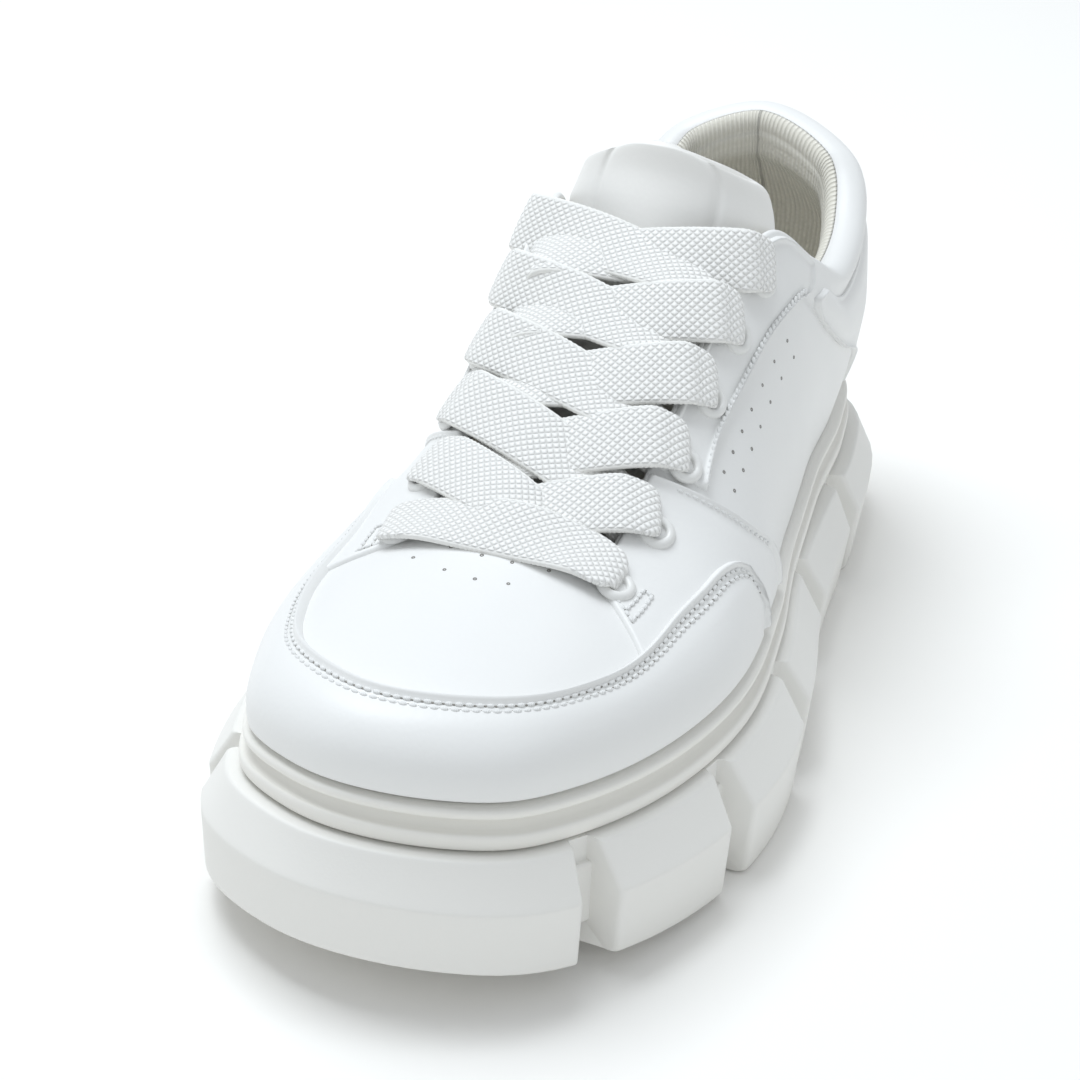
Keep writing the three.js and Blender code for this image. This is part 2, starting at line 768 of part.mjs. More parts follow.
function eyeletGeometry(side, index) {
  const place = side * eyeletPlace(index);
  const up = throatUp(place, eyeletInset);
  const middle = (eyeletBore + eyeletRadius) / 2;
  const sides = 8;
  const profile = [
    new THREE.Vector2(eyeletBore, 0),
    new THREE.Vector2(eyeletRadius, 0),
    new THREE.Vector2(eyeletRadius, eyeletHeight * 0.5),
    new THREE.Vector2(middle, eyeletHeight),
    new THREE.Vector2(eyeletBore, eyeletHeight * 0.5),
    new THREE.Vector2(eyeletBore, 0),
  ];
  const geometry = new THREE.LatheGeometry(profile, sides);
  const turn = new THREE.Quaternion().setFromUnitVectors(new THREE.Vector3(0, 1, 0), skinNormal(place, up));
  geometry.applyQuaternion(turn);
  const centre = skinOffset(place, up, sheetTop + eyeletSeat);
  geometry.translate(centre.x, centre.y, centre.z);
  return geometry;
}

// Lace: flat strips. Each crossing has two: one comes out from under the eyestay at its own
// eyelet's height and runs over to the next eyelet on the other side.
const laceSeat = 0.8;
const laceLift = sheetTop + laceSeat + laceThickness / 2;
const laceEyeletGap = 1.8;
const laceOverEyelet = laceLift + eyeletHeight + laceEyeletGap;
const laceCrown = 4.5;
const laceEndReach = 1.5;
const laceStandOff = 3;
const laceStack = 0.8;

function laceStrip(path, normals, startLine) {
  const curve = new THREE.CatmullRomCurve3(path, false, 'centripetal');
  const steps = 8;
  const shell = createShell();
  const rings = Array.from({ length: steps + 1 }, (_, i) => {
    const share = i / steps;
    const centre = curve.getPoint(share);
    const tangent = curve.getTangent(share);
    const knot = Math.min(Math.floor(share * (normals.length - 1)), normals.length - 2);
    const normal = normals[knot].clone().lerp(normals[knot + 1], share * (normals.length - 1) - knot).normalize();
    const cross = normal.clone().cross(tangent).normalize();
    if (i === 0 && startLine) cross.copy(startLine).multiplyScalar(Math.sign(startLine.dot(cross)));
    const width = cross.clone().multiplyScalar(laceWidth / 2);
    const depth = normal.clone().multiplyScalar(laceThickness / 2);
    return shell.addRow([[1, 1], [-1, 1], [-1, -1], [1, -1]].map(([w, d]) => centre.clone()
      .addScaledVector(width, w).addScaledVector(depth, d)));
  });
  for (let r = 0; r < steps; r += 1) {
    for (let i = 0; i < 4; i += 1) {
      const j = (i + 1) % 4;
      shell.addQuad(rings[r] + i, rings[r] + j, rings[r + 1] + j, rings[r + 1] + i);
    }
  }
  shell.addQuad(rings[0] + 3, rings[0] + 2, rings[0] + 1, rings[0]);
  const end = rings[steps];
  shell.addQuad(end, end + 1, end + 2, end + 3);
  return toManifold(shellGeometry(shell));
}

function throatStop(side, index) {
  const place = side * eyeletPlace(index);
  const row = openingRow(place);
  const normal = skinNormal(place, 1);
  return {
    normal,
    line: skinPoint(place + 0.01, 1).sub(skinPoint(place - 0.01, 1)).normalize(),
    under: row.edge.clone().addScaledVector(row.arrival, laceStandOff).addScaledVector(normal, -wall / 2),
    over: row.edge.clone().addScaledVector(normal, laceLift),
    eyelet: skinOffset(place, throatUp(place, eyeletInset), laceOverEyelet),
    end: skinOffset(place, throatUp(place, eyeletInset + laceEndReach), laceOverEyelet),
  };
}

function crossingStrip(side, index, raised) {
  const start = throatStop(side, index);
  const end = throatStop(-side, index + 1);
  const normal = start.normal.clone().add(end.normal).normalize();
  const middle = start.under.clone().add(end.over).multiplyScalar(0.5)
    .addScaledVector(normal, laceCrown + raised);
  const path = [start.under, middle, end.over, end.end];
  return laceStrip(path, [start.normal, normal, end.normal, end.normal], start.line);
}

function lacesGeometry() {
  const bar = [throatStop(1, 0), throatStop(-1, 0)];
  const barNormal = bar[0].normal.clone().add(bar[1].normal).normalize();
  const barMiddle = bar[0].over.clone().add(bar[1].over).multiplyScalar(0.5).addScaledVector(barNormal, laceCrown);
  let laces = laceStrip(
    [bar[0].end, bar[0].over, barMiddle, bar[1].over, bar[1].end],
    [bar[0].normal, bar[0].normal, barNormal, bar[1].normal, bar[1].normal],
  );
  for (let index = 0; index + 1 < eyeletsPerSide; index += 1) {
    laces = laces.add(crossingStrip(-1, index, 0));
    laces = laces.add(crossingStrip(1, index, laceThickness * laceStack));
  }
  return fromManifold(laces);
}

const group = new THREE.Group();

function addPiece(name, geometry, material) {
  const mesh = new THREE.Mesh(geometry, material);
  mesh.name = name;
  group.add(mesh);
  return mesh;
}

const rubber = new THREE.MeshStandardMaterial({ color: 0xf1f1ea, roughness: 0.62, metalness: 0 });
const foam = new THREE.MeshStandardMaterial({ color: 0xf3f3ee, roughness: 0.6, metalness: 0 });
const leather = new THREE.MeshStandardMaterial({ color: 0xf4f4f0, roughness: 0.5, metalness: 0 });
const lining = new THREE.MeshStandardMaterial({ color: 0xf0eddf, roughness: 0.9, metalness: 0 });
const metal = new THREE.MeshStandardMaterial({ color: 0xf4f4f2, roughness: 0.45, metalness: 0 });
const webbing = new THREE.MeshStandardMaterial({ color: 0xf8f9f9, roughness: 0.9, metalness: 0 });

addPiece('outsole', outsoleGeometry(), rubber);
addPiece('midsole', midsoleGeometry(), foam);
addPiece('upper', upperGeometry(), leather);
addPiece('toe_guard', sheetGeometry(guardPatch(), guardGrid, guardOverlay), leather);
addPiece('heel_panel', sheetGeometry(heelPatch, heelGrid, overlay), leather);
addPiece('tongue', tongueGeometry(), leather);
addPiece('insole', insoleGeometry(), lining);
[['outer', 1], ['inner', -1]].forEach(([name, side]) => {
  const guardZone = sheetZone(guardPatch(edgeGap), guardGrid);
  const frontZone = sheetZone(cornerPatch(frontPanel, side, edgeGap), frontGrid);
  const frontSheet = sheetGeometry(cornerPatch(frontPanel, side), frontGrid, overlay, [guardZone]);
  const eyestaySheet = sheetGeometry(cornerPatch(eyestayPanel, side), eyestayGrid, overlay, [frontZone]);
  addPiece(`front_panel_${name}`, frontSheet, leather);
  addPiece(`eyestay_${name}`, eyestaySheet, leather);
  for (let index = 0; index < eyeletsPerSide; index += 1) {
    addPiece(`eyelet_${name}_${index + 1}`, eyeletGeometry(side, index), metal);
  }
});
addPiece('laces', lacesGeometry(), webbing);

// The origin lies under the middle of the shoe's box.
const box = new THREE.Box3().setFromObject(group);
const middle = box.getCenter(new THREE.Vector3());
group.children.forEach((mesh) => mesh.geometry.translate(-middle.x, -middle.y, 0));

export default group;
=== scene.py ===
# Platform sneaker, left shoe, standing on z = 0 with its toe to -Y and its outer side to +X.
# Sizes in the sections are in millimetres; build_mesh writes metres.
import math

import bmesh
import bpy
import numpy as np
from mathutils import Matrix, Vector


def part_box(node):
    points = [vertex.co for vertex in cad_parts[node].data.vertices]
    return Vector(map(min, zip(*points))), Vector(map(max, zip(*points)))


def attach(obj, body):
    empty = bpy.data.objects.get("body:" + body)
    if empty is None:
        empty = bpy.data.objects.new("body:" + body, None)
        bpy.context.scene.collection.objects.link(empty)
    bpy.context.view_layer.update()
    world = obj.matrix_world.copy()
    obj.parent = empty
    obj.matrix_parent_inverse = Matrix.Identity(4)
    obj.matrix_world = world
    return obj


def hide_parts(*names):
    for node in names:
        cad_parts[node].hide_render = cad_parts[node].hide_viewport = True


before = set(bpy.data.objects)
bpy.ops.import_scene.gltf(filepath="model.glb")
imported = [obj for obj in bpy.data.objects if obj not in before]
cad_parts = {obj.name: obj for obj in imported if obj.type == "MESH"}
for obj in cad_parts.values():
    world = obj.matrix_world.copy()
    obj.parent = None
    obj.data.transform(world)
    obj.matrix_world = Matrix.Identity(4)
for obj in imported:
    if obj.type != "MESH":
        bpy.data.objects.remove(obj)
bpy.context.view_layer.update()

# Outsole: one block of moulded white rubber. Its side is bevelled above and below a
# crease, and square gaps cut it into lugs that run across the tread.
sole_length, ball_width, heel_width = 280.0, 121.0, 90.0
lug_height, crease_height, bevel_depth = 29.0, 19.0, 6.0
toe_spring, toe_lift, spring_reach, toe_tuck, heel_tuck = 9.0, 3.8, 90.0, 0.4, 2.6
gap_mouth, gap_floor, gap_depth, groove_height = 10.0, 6.5, 7.5, 6.0
lug_round, lug_samples, flare_reach, core_clearance = 1.2, 15, 9.0, 0.25

# along (share of the length), outer and inner half widths (shares of the ball or heel width)
plan = np.array([
    (0.000, -0.058, 0.058), (0.012, 0.112, 0.190), (0.050, 0.270, 0.332), (0.120, 0.382, 0.418),
    (0.220, 0.469, 0.486), (0.340, 0.508, 0.500), (0.460, 0.474, 0.440), (0.580, 0.548, 0.490),
    (0.700, 0.495, 0.490), (0.820, 0.460, 0.518), (0.920, 0.372, 0.450), (0.980, 0.175, 0.275),
    (1.000, -0.050, 0.050),
])
gap_alongs = [(0.105, 0.108), (0.262, 0.260), (0.425, 0.415), (0.593, 0.590), (0.755, 0.752)]

# place round the shoe, share of the insets of the rim, share of the lugs' bevel
inset_shares = np.array([
    (0.00, 1.04, 0.93), (0.30, 1.05, 1.00), (0.44, 1.05, 1.00), (0.53, 0.97, 1.00), (0.61, 0.88, 0.98),
    (0.72, 0.98, 0.82), (0.86, 0.95, 0.80), (1.00, 0.95, 0.85),
])


def table_curve(table, column, at, flat_ends=True):
    """A smooth curve through one column of a table, read at keys of its first column."""
    keys, values = table[:, 0], table[:, column]
    slopes = np.zeros(len(keys))
    slopes[1:-1] = (values[2:] - values[:-2]) / (keys[2:] - keys[:-2])
    if not flat_ends:
        slopes[0] = (values[1] - values[0]) / (keys[1] - keys[0])
        slopes[-1] = (values[-1] - values[-2]) / (keys[-1] - keys[-2])
    at = np.asarray(at, float)
    k = np.clip(np.searchsorted(keys, at) - 1, 0, len(keys) - 2)
    span = keys[k + 1] - keys[k]
    s = np.clip((at - keys[k]) / span, 0, 1)
    start = (1 + 2 * s) * (1 - s) ** 2 * values[k] + s * (1 - s) ** 2 * span * slopes[k]
    return start + s * s * (3 - 2 * s) * values[k + 1] + s * s * (s - 1) * span * slopes[k + 1]


def smooth_path(points, t, closed=False):
    """Points on a centripetal curve through points, at shares t of its spans."""
    points = np.asarray(points, float)
    count = len(points)
    if closed:
        place = np.asarray(t) * count
        k = np.floor(place).astype(int)
        four = [points[(k + i) % count] for i in (-1, 0, 1, 2)]
    else:
        place = np.clip(np.asarray(t), 0, 1) * (count - 1)
        k = np.minimum(np.floor(place).astype(int), count - 2)
        padded = np.vstack([2 * points[0] - points[1], points, 2 * points[-1] - points[-2]])
        four = [padded[k + i + 1] for i in (-1, 0, 1, 2)]
    s = (place - k)[:, None]
    gaps = [np.maximum(np.linalg.norm(four[i + 1] - four[i], axis=1), 1e-6) ** 0.5 for i in range(3)]
    g0, g1, g2 = (gap[:, None] for gap in gaps)
    p0, p1, p2, p3 = four
    t1 = ((p1 - p0) / g0 - (p2 - p0) / (g0 + g1) + (p2 - p1) / g1) * g1
    t2 = ((p2 - p1) / g1 - (p3 - p1) / (g1 + g2) + (p3 - p2) / g2) * g1
    return p1 + t1 * s + (3 * (p2 - p1) - 2 * t1 - t2) * s ** 2 + (2 * (p1 - p2) + t1 + t2) * s ** 3


def run_lengths(points):
    """Length of a line of points from its start to each of them."""
    return np.concatenate([[0], np.cumsum(np.linalg.norm(np.diff(points, axis=0), axis=1))])


def length_at(along):
    """Millimetres from the middle of the sole for a share of its length."""
    return (np.asarray(along) - 0.5) * sole_length


plan_width = np.where(plan[:, 0] < 0.5, ball_width, heel_width)
outer_points = np.stack([plan[:, 1] * plan_width, length_at(plan[:, 0])], 1)
inner_points = np.stack([-plan[:, 2] * plan_width, length_at(plan[:, 0])], 1)[1:-1][::-1]
plan_points = np.vstack([outer_points, inner_points])
heel_share = (len(plan) - 1) / len(plan_points)


def measured_side(start, end):
    """One side of the outline and the length along it."""
    t = np.linspace(start, end, 401) % 1
    points = smooth_path(plan_points, t, closed=True)
    return points, run_lengths(points)


outer_line, outer_length = measured_side(0, heel_share)
inner_line, inner_length = measured_side(1, heel_share)


def loop_point(place):
    """Point of the sole's outline: place runs from 0 at the toe to 1 at the heel on the outer
    side and to -1 on the inner side."""
    place = np.asarray(place, float)
    place = np.where(place > 1, place - 2, np.where(place < -1, place + 2, place))
    at = np.abs(place)
    outer = [np.interp(at, outer_length / outer_length[-1], outer_line[:, k]) for k in (0, 1)]
    inner = [np.interp(at, inner_length / inner_length[-1], inner_line[:, k]) for k in (0, 1)]
    return np.stack([np.where(place >= 0, outer[k], inner[k]) for k in (0, 1)], -1)


def loop_normal(place):
    """Outward direction of the outline."""
    along = loop_point(np.asarray(place) + 0.004) - loop_point(np.asarray(place) - 0.004)
    along /= np.linalg.norm(along, axis=-1, keepdims=True)
    return np.stack([along[..., 1], -along[..., 0]], -1)


def toe_reach(y):
    """Share of the toe's spring and lift, 1 at its tip."""
    return np.maximum(0, 1 - (y + sole_length / 2) / spring_reach)


def spring_at(y):
    return toe_spring * toe_reach(y) ** 2


def inset_share(place, column=1):
    """Share of an inset at a place round the shoe."""
    at = np.abs(place)
    return table_curve(inset_shares, column, np.where(at > 1, 2 - at, at))


def rim_point(place, inset, height):
    """Point inside the outline, lifted with the toe."""
    flat = loop_point(place) - loop_normal(place) * (inset * inset_share(place))[..., None]
    return np.concatenate([flat, (height + spring_at(flat[..., 1]))[..., None]], -1)


class Field:
    """A number that changes over a surface: the output of one shader node."""

    def __init__(self, tree, socket):
        self.tree, self.socket = tree, socket

    def math(self, operation, *others):
        node = self.tree.nodes.new("ShaderNodeMath")
        node.operation = operation
        for socket, item in zip(node.inputs, (self, *others)):
            if isinstance(item, Field):
                self.tree.links.new(item.socket, socket)
            else:
                socket.default_value = item
        return Field(self.tree, node.outputs[0])

    def __add__(self, other):
        return self.math("ADD", other)

    def __mul__(self, other):
        return self.math("MULTIPLY", other)

    def __sub__(self, other):
        return self.math("SUBTRACT", other)

    def __rsub__(self, other):
        return self * -1 + other

    def __pow__(self, other):
        return self.math("POWER", other)

    def __abs__(self):
        return self.math("ABSOLUTE")

    __radd__, __rmul__ = __add__, __mul__


class Finish:
    """One material, built node by node."""

    def __init__(self, name):
        self.material = bpy.data.materials.new(name)
        self.material.use_nodes = True
        self.tree = self.material.node_tree
        self.tree.nodes.clear()

    def node(self, kind, inputs=None, output=0, stops=None, **settings):
        node = self.tree.nodes.new("ShaderNode" + kind)
        for key, value in settings.items():
            setattr(node, key, value)
        if stops:
            ramp = node.color_ramp
            while len(ramp.elements) < len(stops):
                ramp.elements.new(0.5)
            for element, (position, color) in zip(ramp.elements, stops):
                element.position, element.color = position, color
        for key, value in (inputs or {}).items():
            socket = node.inputs[key]
            if isinstance(value, Field):
                self.tree.links.new(value.socket, socket)
            else:
                socket.default_value = value
        return Field(self.tree, node.outputs[output])

    def place(self):
        return self.node("TexCoord", output="Object")

    def noise(self, scale, detail=3.0, roughness=0.5):
        inputs = {"Vector": self.place(), "Scale": scale, "Detail": detail, "Roughness": roughness}
        return self.node("TexNoise", inputs, output="Fac")

    def blend(self, share, first, second):
        inputs = {"Factor": share, 6: (*first, 1), 7: (*second, 1)}
        return self.node("Mix", inputs, output=2, data_type="RGBA")

    def bump(self, height, depth, strength=1.0, under=None):
        inputs = {"Height": height, "Distance": depth, "Strength": strength}
        if under:
            inputs["Normal"] = under
        return self.node("Bump", inputs, output="Normal")

    def surface(self, **inputs):
        named = {key.replace("_", " "): value for key, value in inputs.items()}
        shader = self.node("BsdfPrincipled", named, output="BSDF")
        end = self.tree.nodes.new("ShaderNodeOutputMaterial")
        self.tree.links.new(shader.socket, end.inputs["Surface"])
        return self.material


def build_mesh(name, points, faces, finishes, uv=None, uv_name="surface", sharp=None):
    """A piece from points in millimetres. uv holds one pair for each point."""
    mesh = bpy.data.meshes.new(name)
    centred = (np.asarray(points, float).reshape(-1, 3) + (centre_shift, 0, 0)) / 1000
    mesh.from_pydata(centred.tolist(), [], [[int(i) for i in face] for face in faces])
    for finish in finishes:
        mesh.materials.append(finish)
    if uv is not None:
        layer = mesh.uv_layers.new(name=uv_name)
        corners = np.empty(len(mesh.loops), dtype=np.int32)
        mesh.loops.foreach_get("vertex_index", corners)
        layer.data.foreach_set("uv", np.asarray(uv, dtype=np.float32).reshape(-1, 2)[corners].ravel())
    mesh.validate()
    mesh.shade_smooth()
    if sharp is not None:
        mesh.set_sharp_from_angle(angle=math.radians(sharp))
    piece = bpy.data.objects.new(name, mesh)
    bpy.context.scene.collection.objects.link(piece)
    return piece


def turn_outward(piece):
    """Turns a closed piece's faces outward if its volume comes out negative."""
    work = bmesh.new()
    work.from_mesh(piece.data)
    if work.calc_volume(signed=True) < 0:
        bmesh.ops.reverse_faces(work, faces=work.faces)
        work.to_mesh(piece.data)
    work.free()


def grid_faces(rows, columns, wrap=False, start=0):
    """Four-sided faces over rows of points, closed into rings where wrap is set."""
    steps = columns if wrap else columns - 1
    return [
        (start + r * columns + i, start + r * columns + (i + 1) % columns,
         start + (r + 1) * columns + (i + 1) % columns, start + (r + 1) * columns + i)
        for r in range(rows - 1) for i in range(steps)
    ]


def end_faces(rows, columns, start=0):
    """One flat face at each end of a row of rings."""
    last = start + (rows - 1) * columns
    return [[start + i for i in range(columns)][::-1], [last + i for i in range(columns)]]


def closing_faces(rows, columns):
    """Joins the last ring of a hollow section to its first."""
    last = (rows - 1) * columns
    return [(last + i, last + (i + 1) % columns, (i + 1) % columns, i) for i in range(columns)]


# the outline's middle lies on the CAD sole's middle
cad_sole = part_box("outsole")
centre_shift = (cad_sole[0][0] + cad_sole[1][0]) * 500 - (outer_line[:, 0].max() + inner_line[:, 0].min()) / 2

# share of the tuck, inset and height of a lug's side from the tread up, and inset and height
# of the core between the lugs
lug_side = np.array([
    (1.00, 1.90, 0.0), (1.00, 1.20, 0.0), (1.00, 0.55, 0.2), (1.00, 0.15, 0.6), (0.95, 0.00, 1.2),
    (0.88, 0.00, 2.4), (0.10, 0.00, 17.2), (0.03, 0.01, 18.4), (0.00, 0.05, 19.0),
    (0.00, 0.28, 19.5), (0.00, 0.75, 20.2), (0.00, 5.40, 28.0), (0.00, 5.65, 28.5), (0.00, 5.95, 28.8),
    (0.00, 6.40, 28.98), (0.00, 7.30, 29.0), (0.00, 9.40, 29.0),
])
core_side = np.array([
    (8.8, 6.0), (8.2, 6.0), (7.75, 6.2), (7.55, 6.5), (7.5, 7.0), (7.5, 8.0), (7.5, 12.0),
    (7.5, 15.0), (7.5, 19.0), (7.5, 20.4), (7.5, 21.6), (7.5, 22.2), (7.6, 22.7), (7.9, 23.0),
    (8.8, 23.1), (9.0, 23.6), (9.0, 29.0),
])
gap_taper = (gap_mouth - gap_floor) / gap_depth / 2


def sole_columns(side):
    """Columns round one side: arc, 1 for the core, inset of the rounded edges, and how far the
    column leans into the gap for each millimetre of inset."""
    line, length = (outer_line, outer_length) if side > 0 else (inner_line, inner_length)
    centres = [np.interp(length_at(pair[0 if side > 0 else 1]), line[:, 1], length) for pair in gap_alongs]
    edges = [0.0] + [c + half for c in centres for half in (-gap_mouth / 2, gap_mouth / 2)] + [length[-1]]
    turns = np.radians([0, 22, 45, 67, 90])
    columns = []
    for lug in range(6):
        start, end = edges[2 * lug], edges[2 * lug + 1]
        first, last = lug == 0, lug == 5
        if not first:
            columns += [
                (start + lug_round * (1 - np.cos(a)), 0, lug_round * (1 - np.sin(a)), -gap_taper)
                for a in turns]
        inner_start = start if first else start + lug_round + 0.8
        inner_end = end if last else end - lug_round - 0.8
        for m in np.linspace(inner_start, inner_end, lug_samples):
            before = max(0, 1 - (m - start) / flare_reach) * (not first)
            after = max(0, 1 - (end - m) / flare_reach) * (not last)
            columns.append((m, 0, 0, gap_taper * (after - before)))
        if not last:
            columns += [
                (end - lug_round * (1 - np.cos(a)), 0, lug_round * (1 - np.sin(a)), gap_taper)
                for a in turns[::-1]]
            half = gap_mouth / 2 - core_clearance
            columns += [(centres[lug] + half * g, 1, 0, -gap_taper * g) for g in (-1, -0.34, 0.34, 1)]
    return np.array(columns), length[-1]


def sole_side(columns, total, side):
    """Rows of points up one side of the sole, lugs and core together."""
    arc, core, rounding, lean = columns[:, 0], columns[:, 1] > 0.5, columns[:, 2], columns[:, 3]
    rows = []
    for (tuck_share, lug_inset, lug_z), (core_inset, core_z) in zip(lug_side, core_side):
        inset = np.where(core, core_inset, lug_inset + rounding)
        place = side * (arc + lean * inset) / total
        along = loop_point(place)[:, 1] / sole_length + 0.5
        tuck = (toe_tuck + (heel_tuck - toe_tuck) * along) * tuck_share
        bevel = lug_inset * (inset_share(place, 2) if lug_z > crease_height else 1.0)
        inset = np.where(core, core_inset, bevel + tuck + rounding)
        flat = loop_point(place) - loop_normal(place) * inset[:, None]
        base = np.where(core, core_z, lug_z)
        lift = toe_lift * toe_reach(flat[:, 1]) * np.maximum(0, 1 - base / crease_height)
        rows.append(np.concatenate([flat, (base + lift + spring_at(flat[:, 1]))[:, None]], 1))
    return np.array(rows)


outer_columns, outer_total = sole_columns(1)
inner_columns, inner_total = sole_columns(-1)
outer_side = sole_side(outer_columns, outer_total, 1)
inner_side = sole_side(inner_columns, inner_total, -1)
count = len(outer_columns)
side_rows = np.concatenate([outer_side, inner_side[:, 1:-1][:, ::-1]], 1)
ring_size = side_rows.shape[1]
points = list(side_rows.reshape(-1, 3))
faces = grid_faces(len(lug_side), ring_size, wrap=True)

# the tread and the top, as a net of rungs from side to side
rungs = 12
for row, lower in ((0, True), (len(lug_side) - 1, False)):
    net = np.empty((count, rungs + 1), dtype=int)
    for i in range(count):
        a, b = row * ring_size + i, row * ring_size + (ring_size - i) % ring_size
        core = outer_columns[i, 1] > 0.5
        base = (groove_height if core else 0.0) if lower else lug_height
        for k in range(rungs + 1):
            if k in (0, rungs) or i in (0, count - 1):
                net[i, k] = a if k < rungs else b
                continue
            point = points[a] * (1 - k / rungs) + points[b] * (k / rungs)
            net[i, k] = len(points)
            lift = toe_lift * toe_reach(point[1]) if lower else 0.0
            points.append(np.array([point[0], point[1], base + lift + spring_at(point[1])]))
    for i in range(count - 1):
        for k in range(rungs):
            quad = [net[i, k], net[i + 1, k], net[i + 1, k + 1], net[i, k + 1]]
            face = [q for n, q in enumerate(quad) if q != quad[n - 1]]
            if len(set(face)) > 2:
                faces.append(face if lower else face[::-1])

rubber = Finish("sole_rubber")
height = rubber.node("SeparateXYZ", {"Vector": rubber.place()}, output="Z")
# a tan tint over the lowest 12 mm of the rubber, strongest at the tread and broken up by noise
tread_tint = rubber.noise(55.0, 5.0) * rubber.noise(9.0, 2.0)
tread = rubber.node("MapRange", {"Value": height, 1: 0.0, 2: 0.012, 3: 1.0, 4: 0.0}, clamp=True)
colour = rubber.blend(tread * tread_tint * 0.9, (0.845, 0.835, 0.80), (0.70, 0.68, 0.62))
grain = rubber.bump(rubber.noise(1500.0, 2.0), 0.00006, 0.55)
rubber.surface(
    Base_Color=colour, Roughness=rubber.noise(40.0) * 0.12 + 0.46,
    Normal=rubber.bump(rubber.noise(26.0, 2.0), 0.0009, 0.25, grain),
)

outsole = build_mesh("outsole_block", points, faces, [rubber.material], sharp=38)
turn_outward(outsole)
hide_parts("outsole")
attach(outsole, "root")

# Midsole rail: the white foam rim on top of the lugs. Two rounded rails run round it
# with a sloped channel between them.
rim_height, seat = 10.0, 0.3
rim_top = lug_height + seat + rim_height
rim_profile = np.array([
    (0.00, 1.60), (0.03, 1.50), (0.06, 1.44), (0.12, 1.395), (0.22, 1.365), (0.32, 1.365),
    (0.385, 1.40), (0.42, 1.47), (0.44, 1.58), (0.49, 1.72), (0.58, 1.84), (0.66, 1.90),
    (0.72, 1.90), (0.745, 1.80), (0.76, 1.60), (0.80, 1.53), (0.87, 1.51), (0.93, 1.54),
    (0.97, 1.64), (1.00, 1.84),
])


def lid_faces(rows, columns):
    """Faces from side to side over the lowest and the highest ring."""
    half = columns // 2
    lids = []
    for start in (0, (rows - 1) * columns):
        outer = [start + half - 1 + i for i in range(half + 1)]
        inner = [start + (half - 1 - i) % columns for i in range(half + 1)]
        for i in range(half):
            face = [outer[i], outer[i + 1], inner[i + 1], inner[i]]
            face = [q for n, q in enumerate(face) if q != face[n - 1]]
            lids.append(face[::-1] if start == 0 else face)
    return lids


rim_places = np.linspace(-1, 1, 361)[1:]
rises = np.interp(np.linspace(0, 1, 77), np.linspace(0, 1, len(rim_profile)), rim_profile[:, 0])
rows = [
    rim_point(
        rim_places, table_curve(rim_profile, 1, rise) * bevel_depth, lug_height + seat + rise * rim_height)
    for rise in rises
]
points = np.array(rows).reshape(-1, 3)
faces = grid_faces(len(rows), len(rim_places), wrap=True) + lid_faces(len(rows), len(rim_places))

foam = Finish("rail_foam")
grain = foam.bump(foam.noise(1300.0, 2.0), 0.00005, 0.5)
foam.surface(
    Base_Color=foam.blend(foam.noise(30.0, 4.0), (0.87, 0.855, 0.81), (0.85, 0.835, 0.785)),
    Roughness=foam.noise(50.0) * 0.1 + 0.42,
    Normal=foam.bump(foam.noise(22.0, 2.0), 0.0008, 0.2, grain),
)
rail = build_mesh("midsole_rail", points, faces, [foam.material], sharp=60)
turn_outward(rail)
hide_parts("midsole")
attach(rail, "root")

# Upper: smooth white synthetic leather over the last, open at throat and collar. The
# collar is padded and rolls over to the inside; the throat has a plain cut edge.
heel_rise, throat_width, feather_inset, wall = 70.0, 38.0, 12.0, 2.0

# place round the shoe, then the opening's edge: along, outer and inner half widths, rise (shares),
# turn, lift and lean (degrees), and how far the curve reaches from foot and head (shares)
opening = np.array([
    (0.00, 0.284, 0.00, 0.00, 0.408, 90, 14, 14, 0.34, 0.50),
    (0.08, 0.285, 0.36, 0.36, 0.404, 84, 14, 14, 0.34, 0.48),
    (0.17, 0.289, 0.78, 0.78, 0.388, 62, 15, 13, 0.34, 0.46),
    (0.26, 0.303, 1.04, 1.04, 0.372, 30, 22, 9, 0.38, 0.42),
    (0.36, 0.352, 1.07, 1.15, 0.440, 14, 30, 6, 0.38, 0.38),
    (0.46, 0.424, 1.06, 1.26, 0.600, 8, 40, 4, 0.36, 0.36),
    (0.55, 0.502, 1.06, 1.36, 0.780, 4, 46, 4, 0.34, 0.34),
    (0.615, 0.576, 1.10, 1.50, 0.945, 0, 52, 4, 0.33, 0.33),
    (0.66, 0.632, 1.30, 1.62, 1.010, 0, 62, 6, 0.33, 0.33),
    (0.71, 0.688, 1.60, 1.74, 0.840, 0, 72, 9, 0.33, 0.33),
    (0.78, 0.762, 1.72, 1.78, 0.680, -8, 78, 13, 0.34, 0.33),
    (0.85, 0.842, 1.58, 1.72, 0.740, -22, 76, 16, 0.36, 0.33),
    (0.92, 0.908, 1.10, 1.42, 0.895, -48, 74, 17, 0.38, 0.33),
    (1.00, 0.944, -0.24, 0.24, 0.985, -90, 72, 17, 0.38, 0.33),
])


def toe_line(along):
    """How far the middle line leans to the inner side near the toe."""
    return plan[0, 1] * ball_width * np.maximum(0, 1 - along / 0.5) ** 2


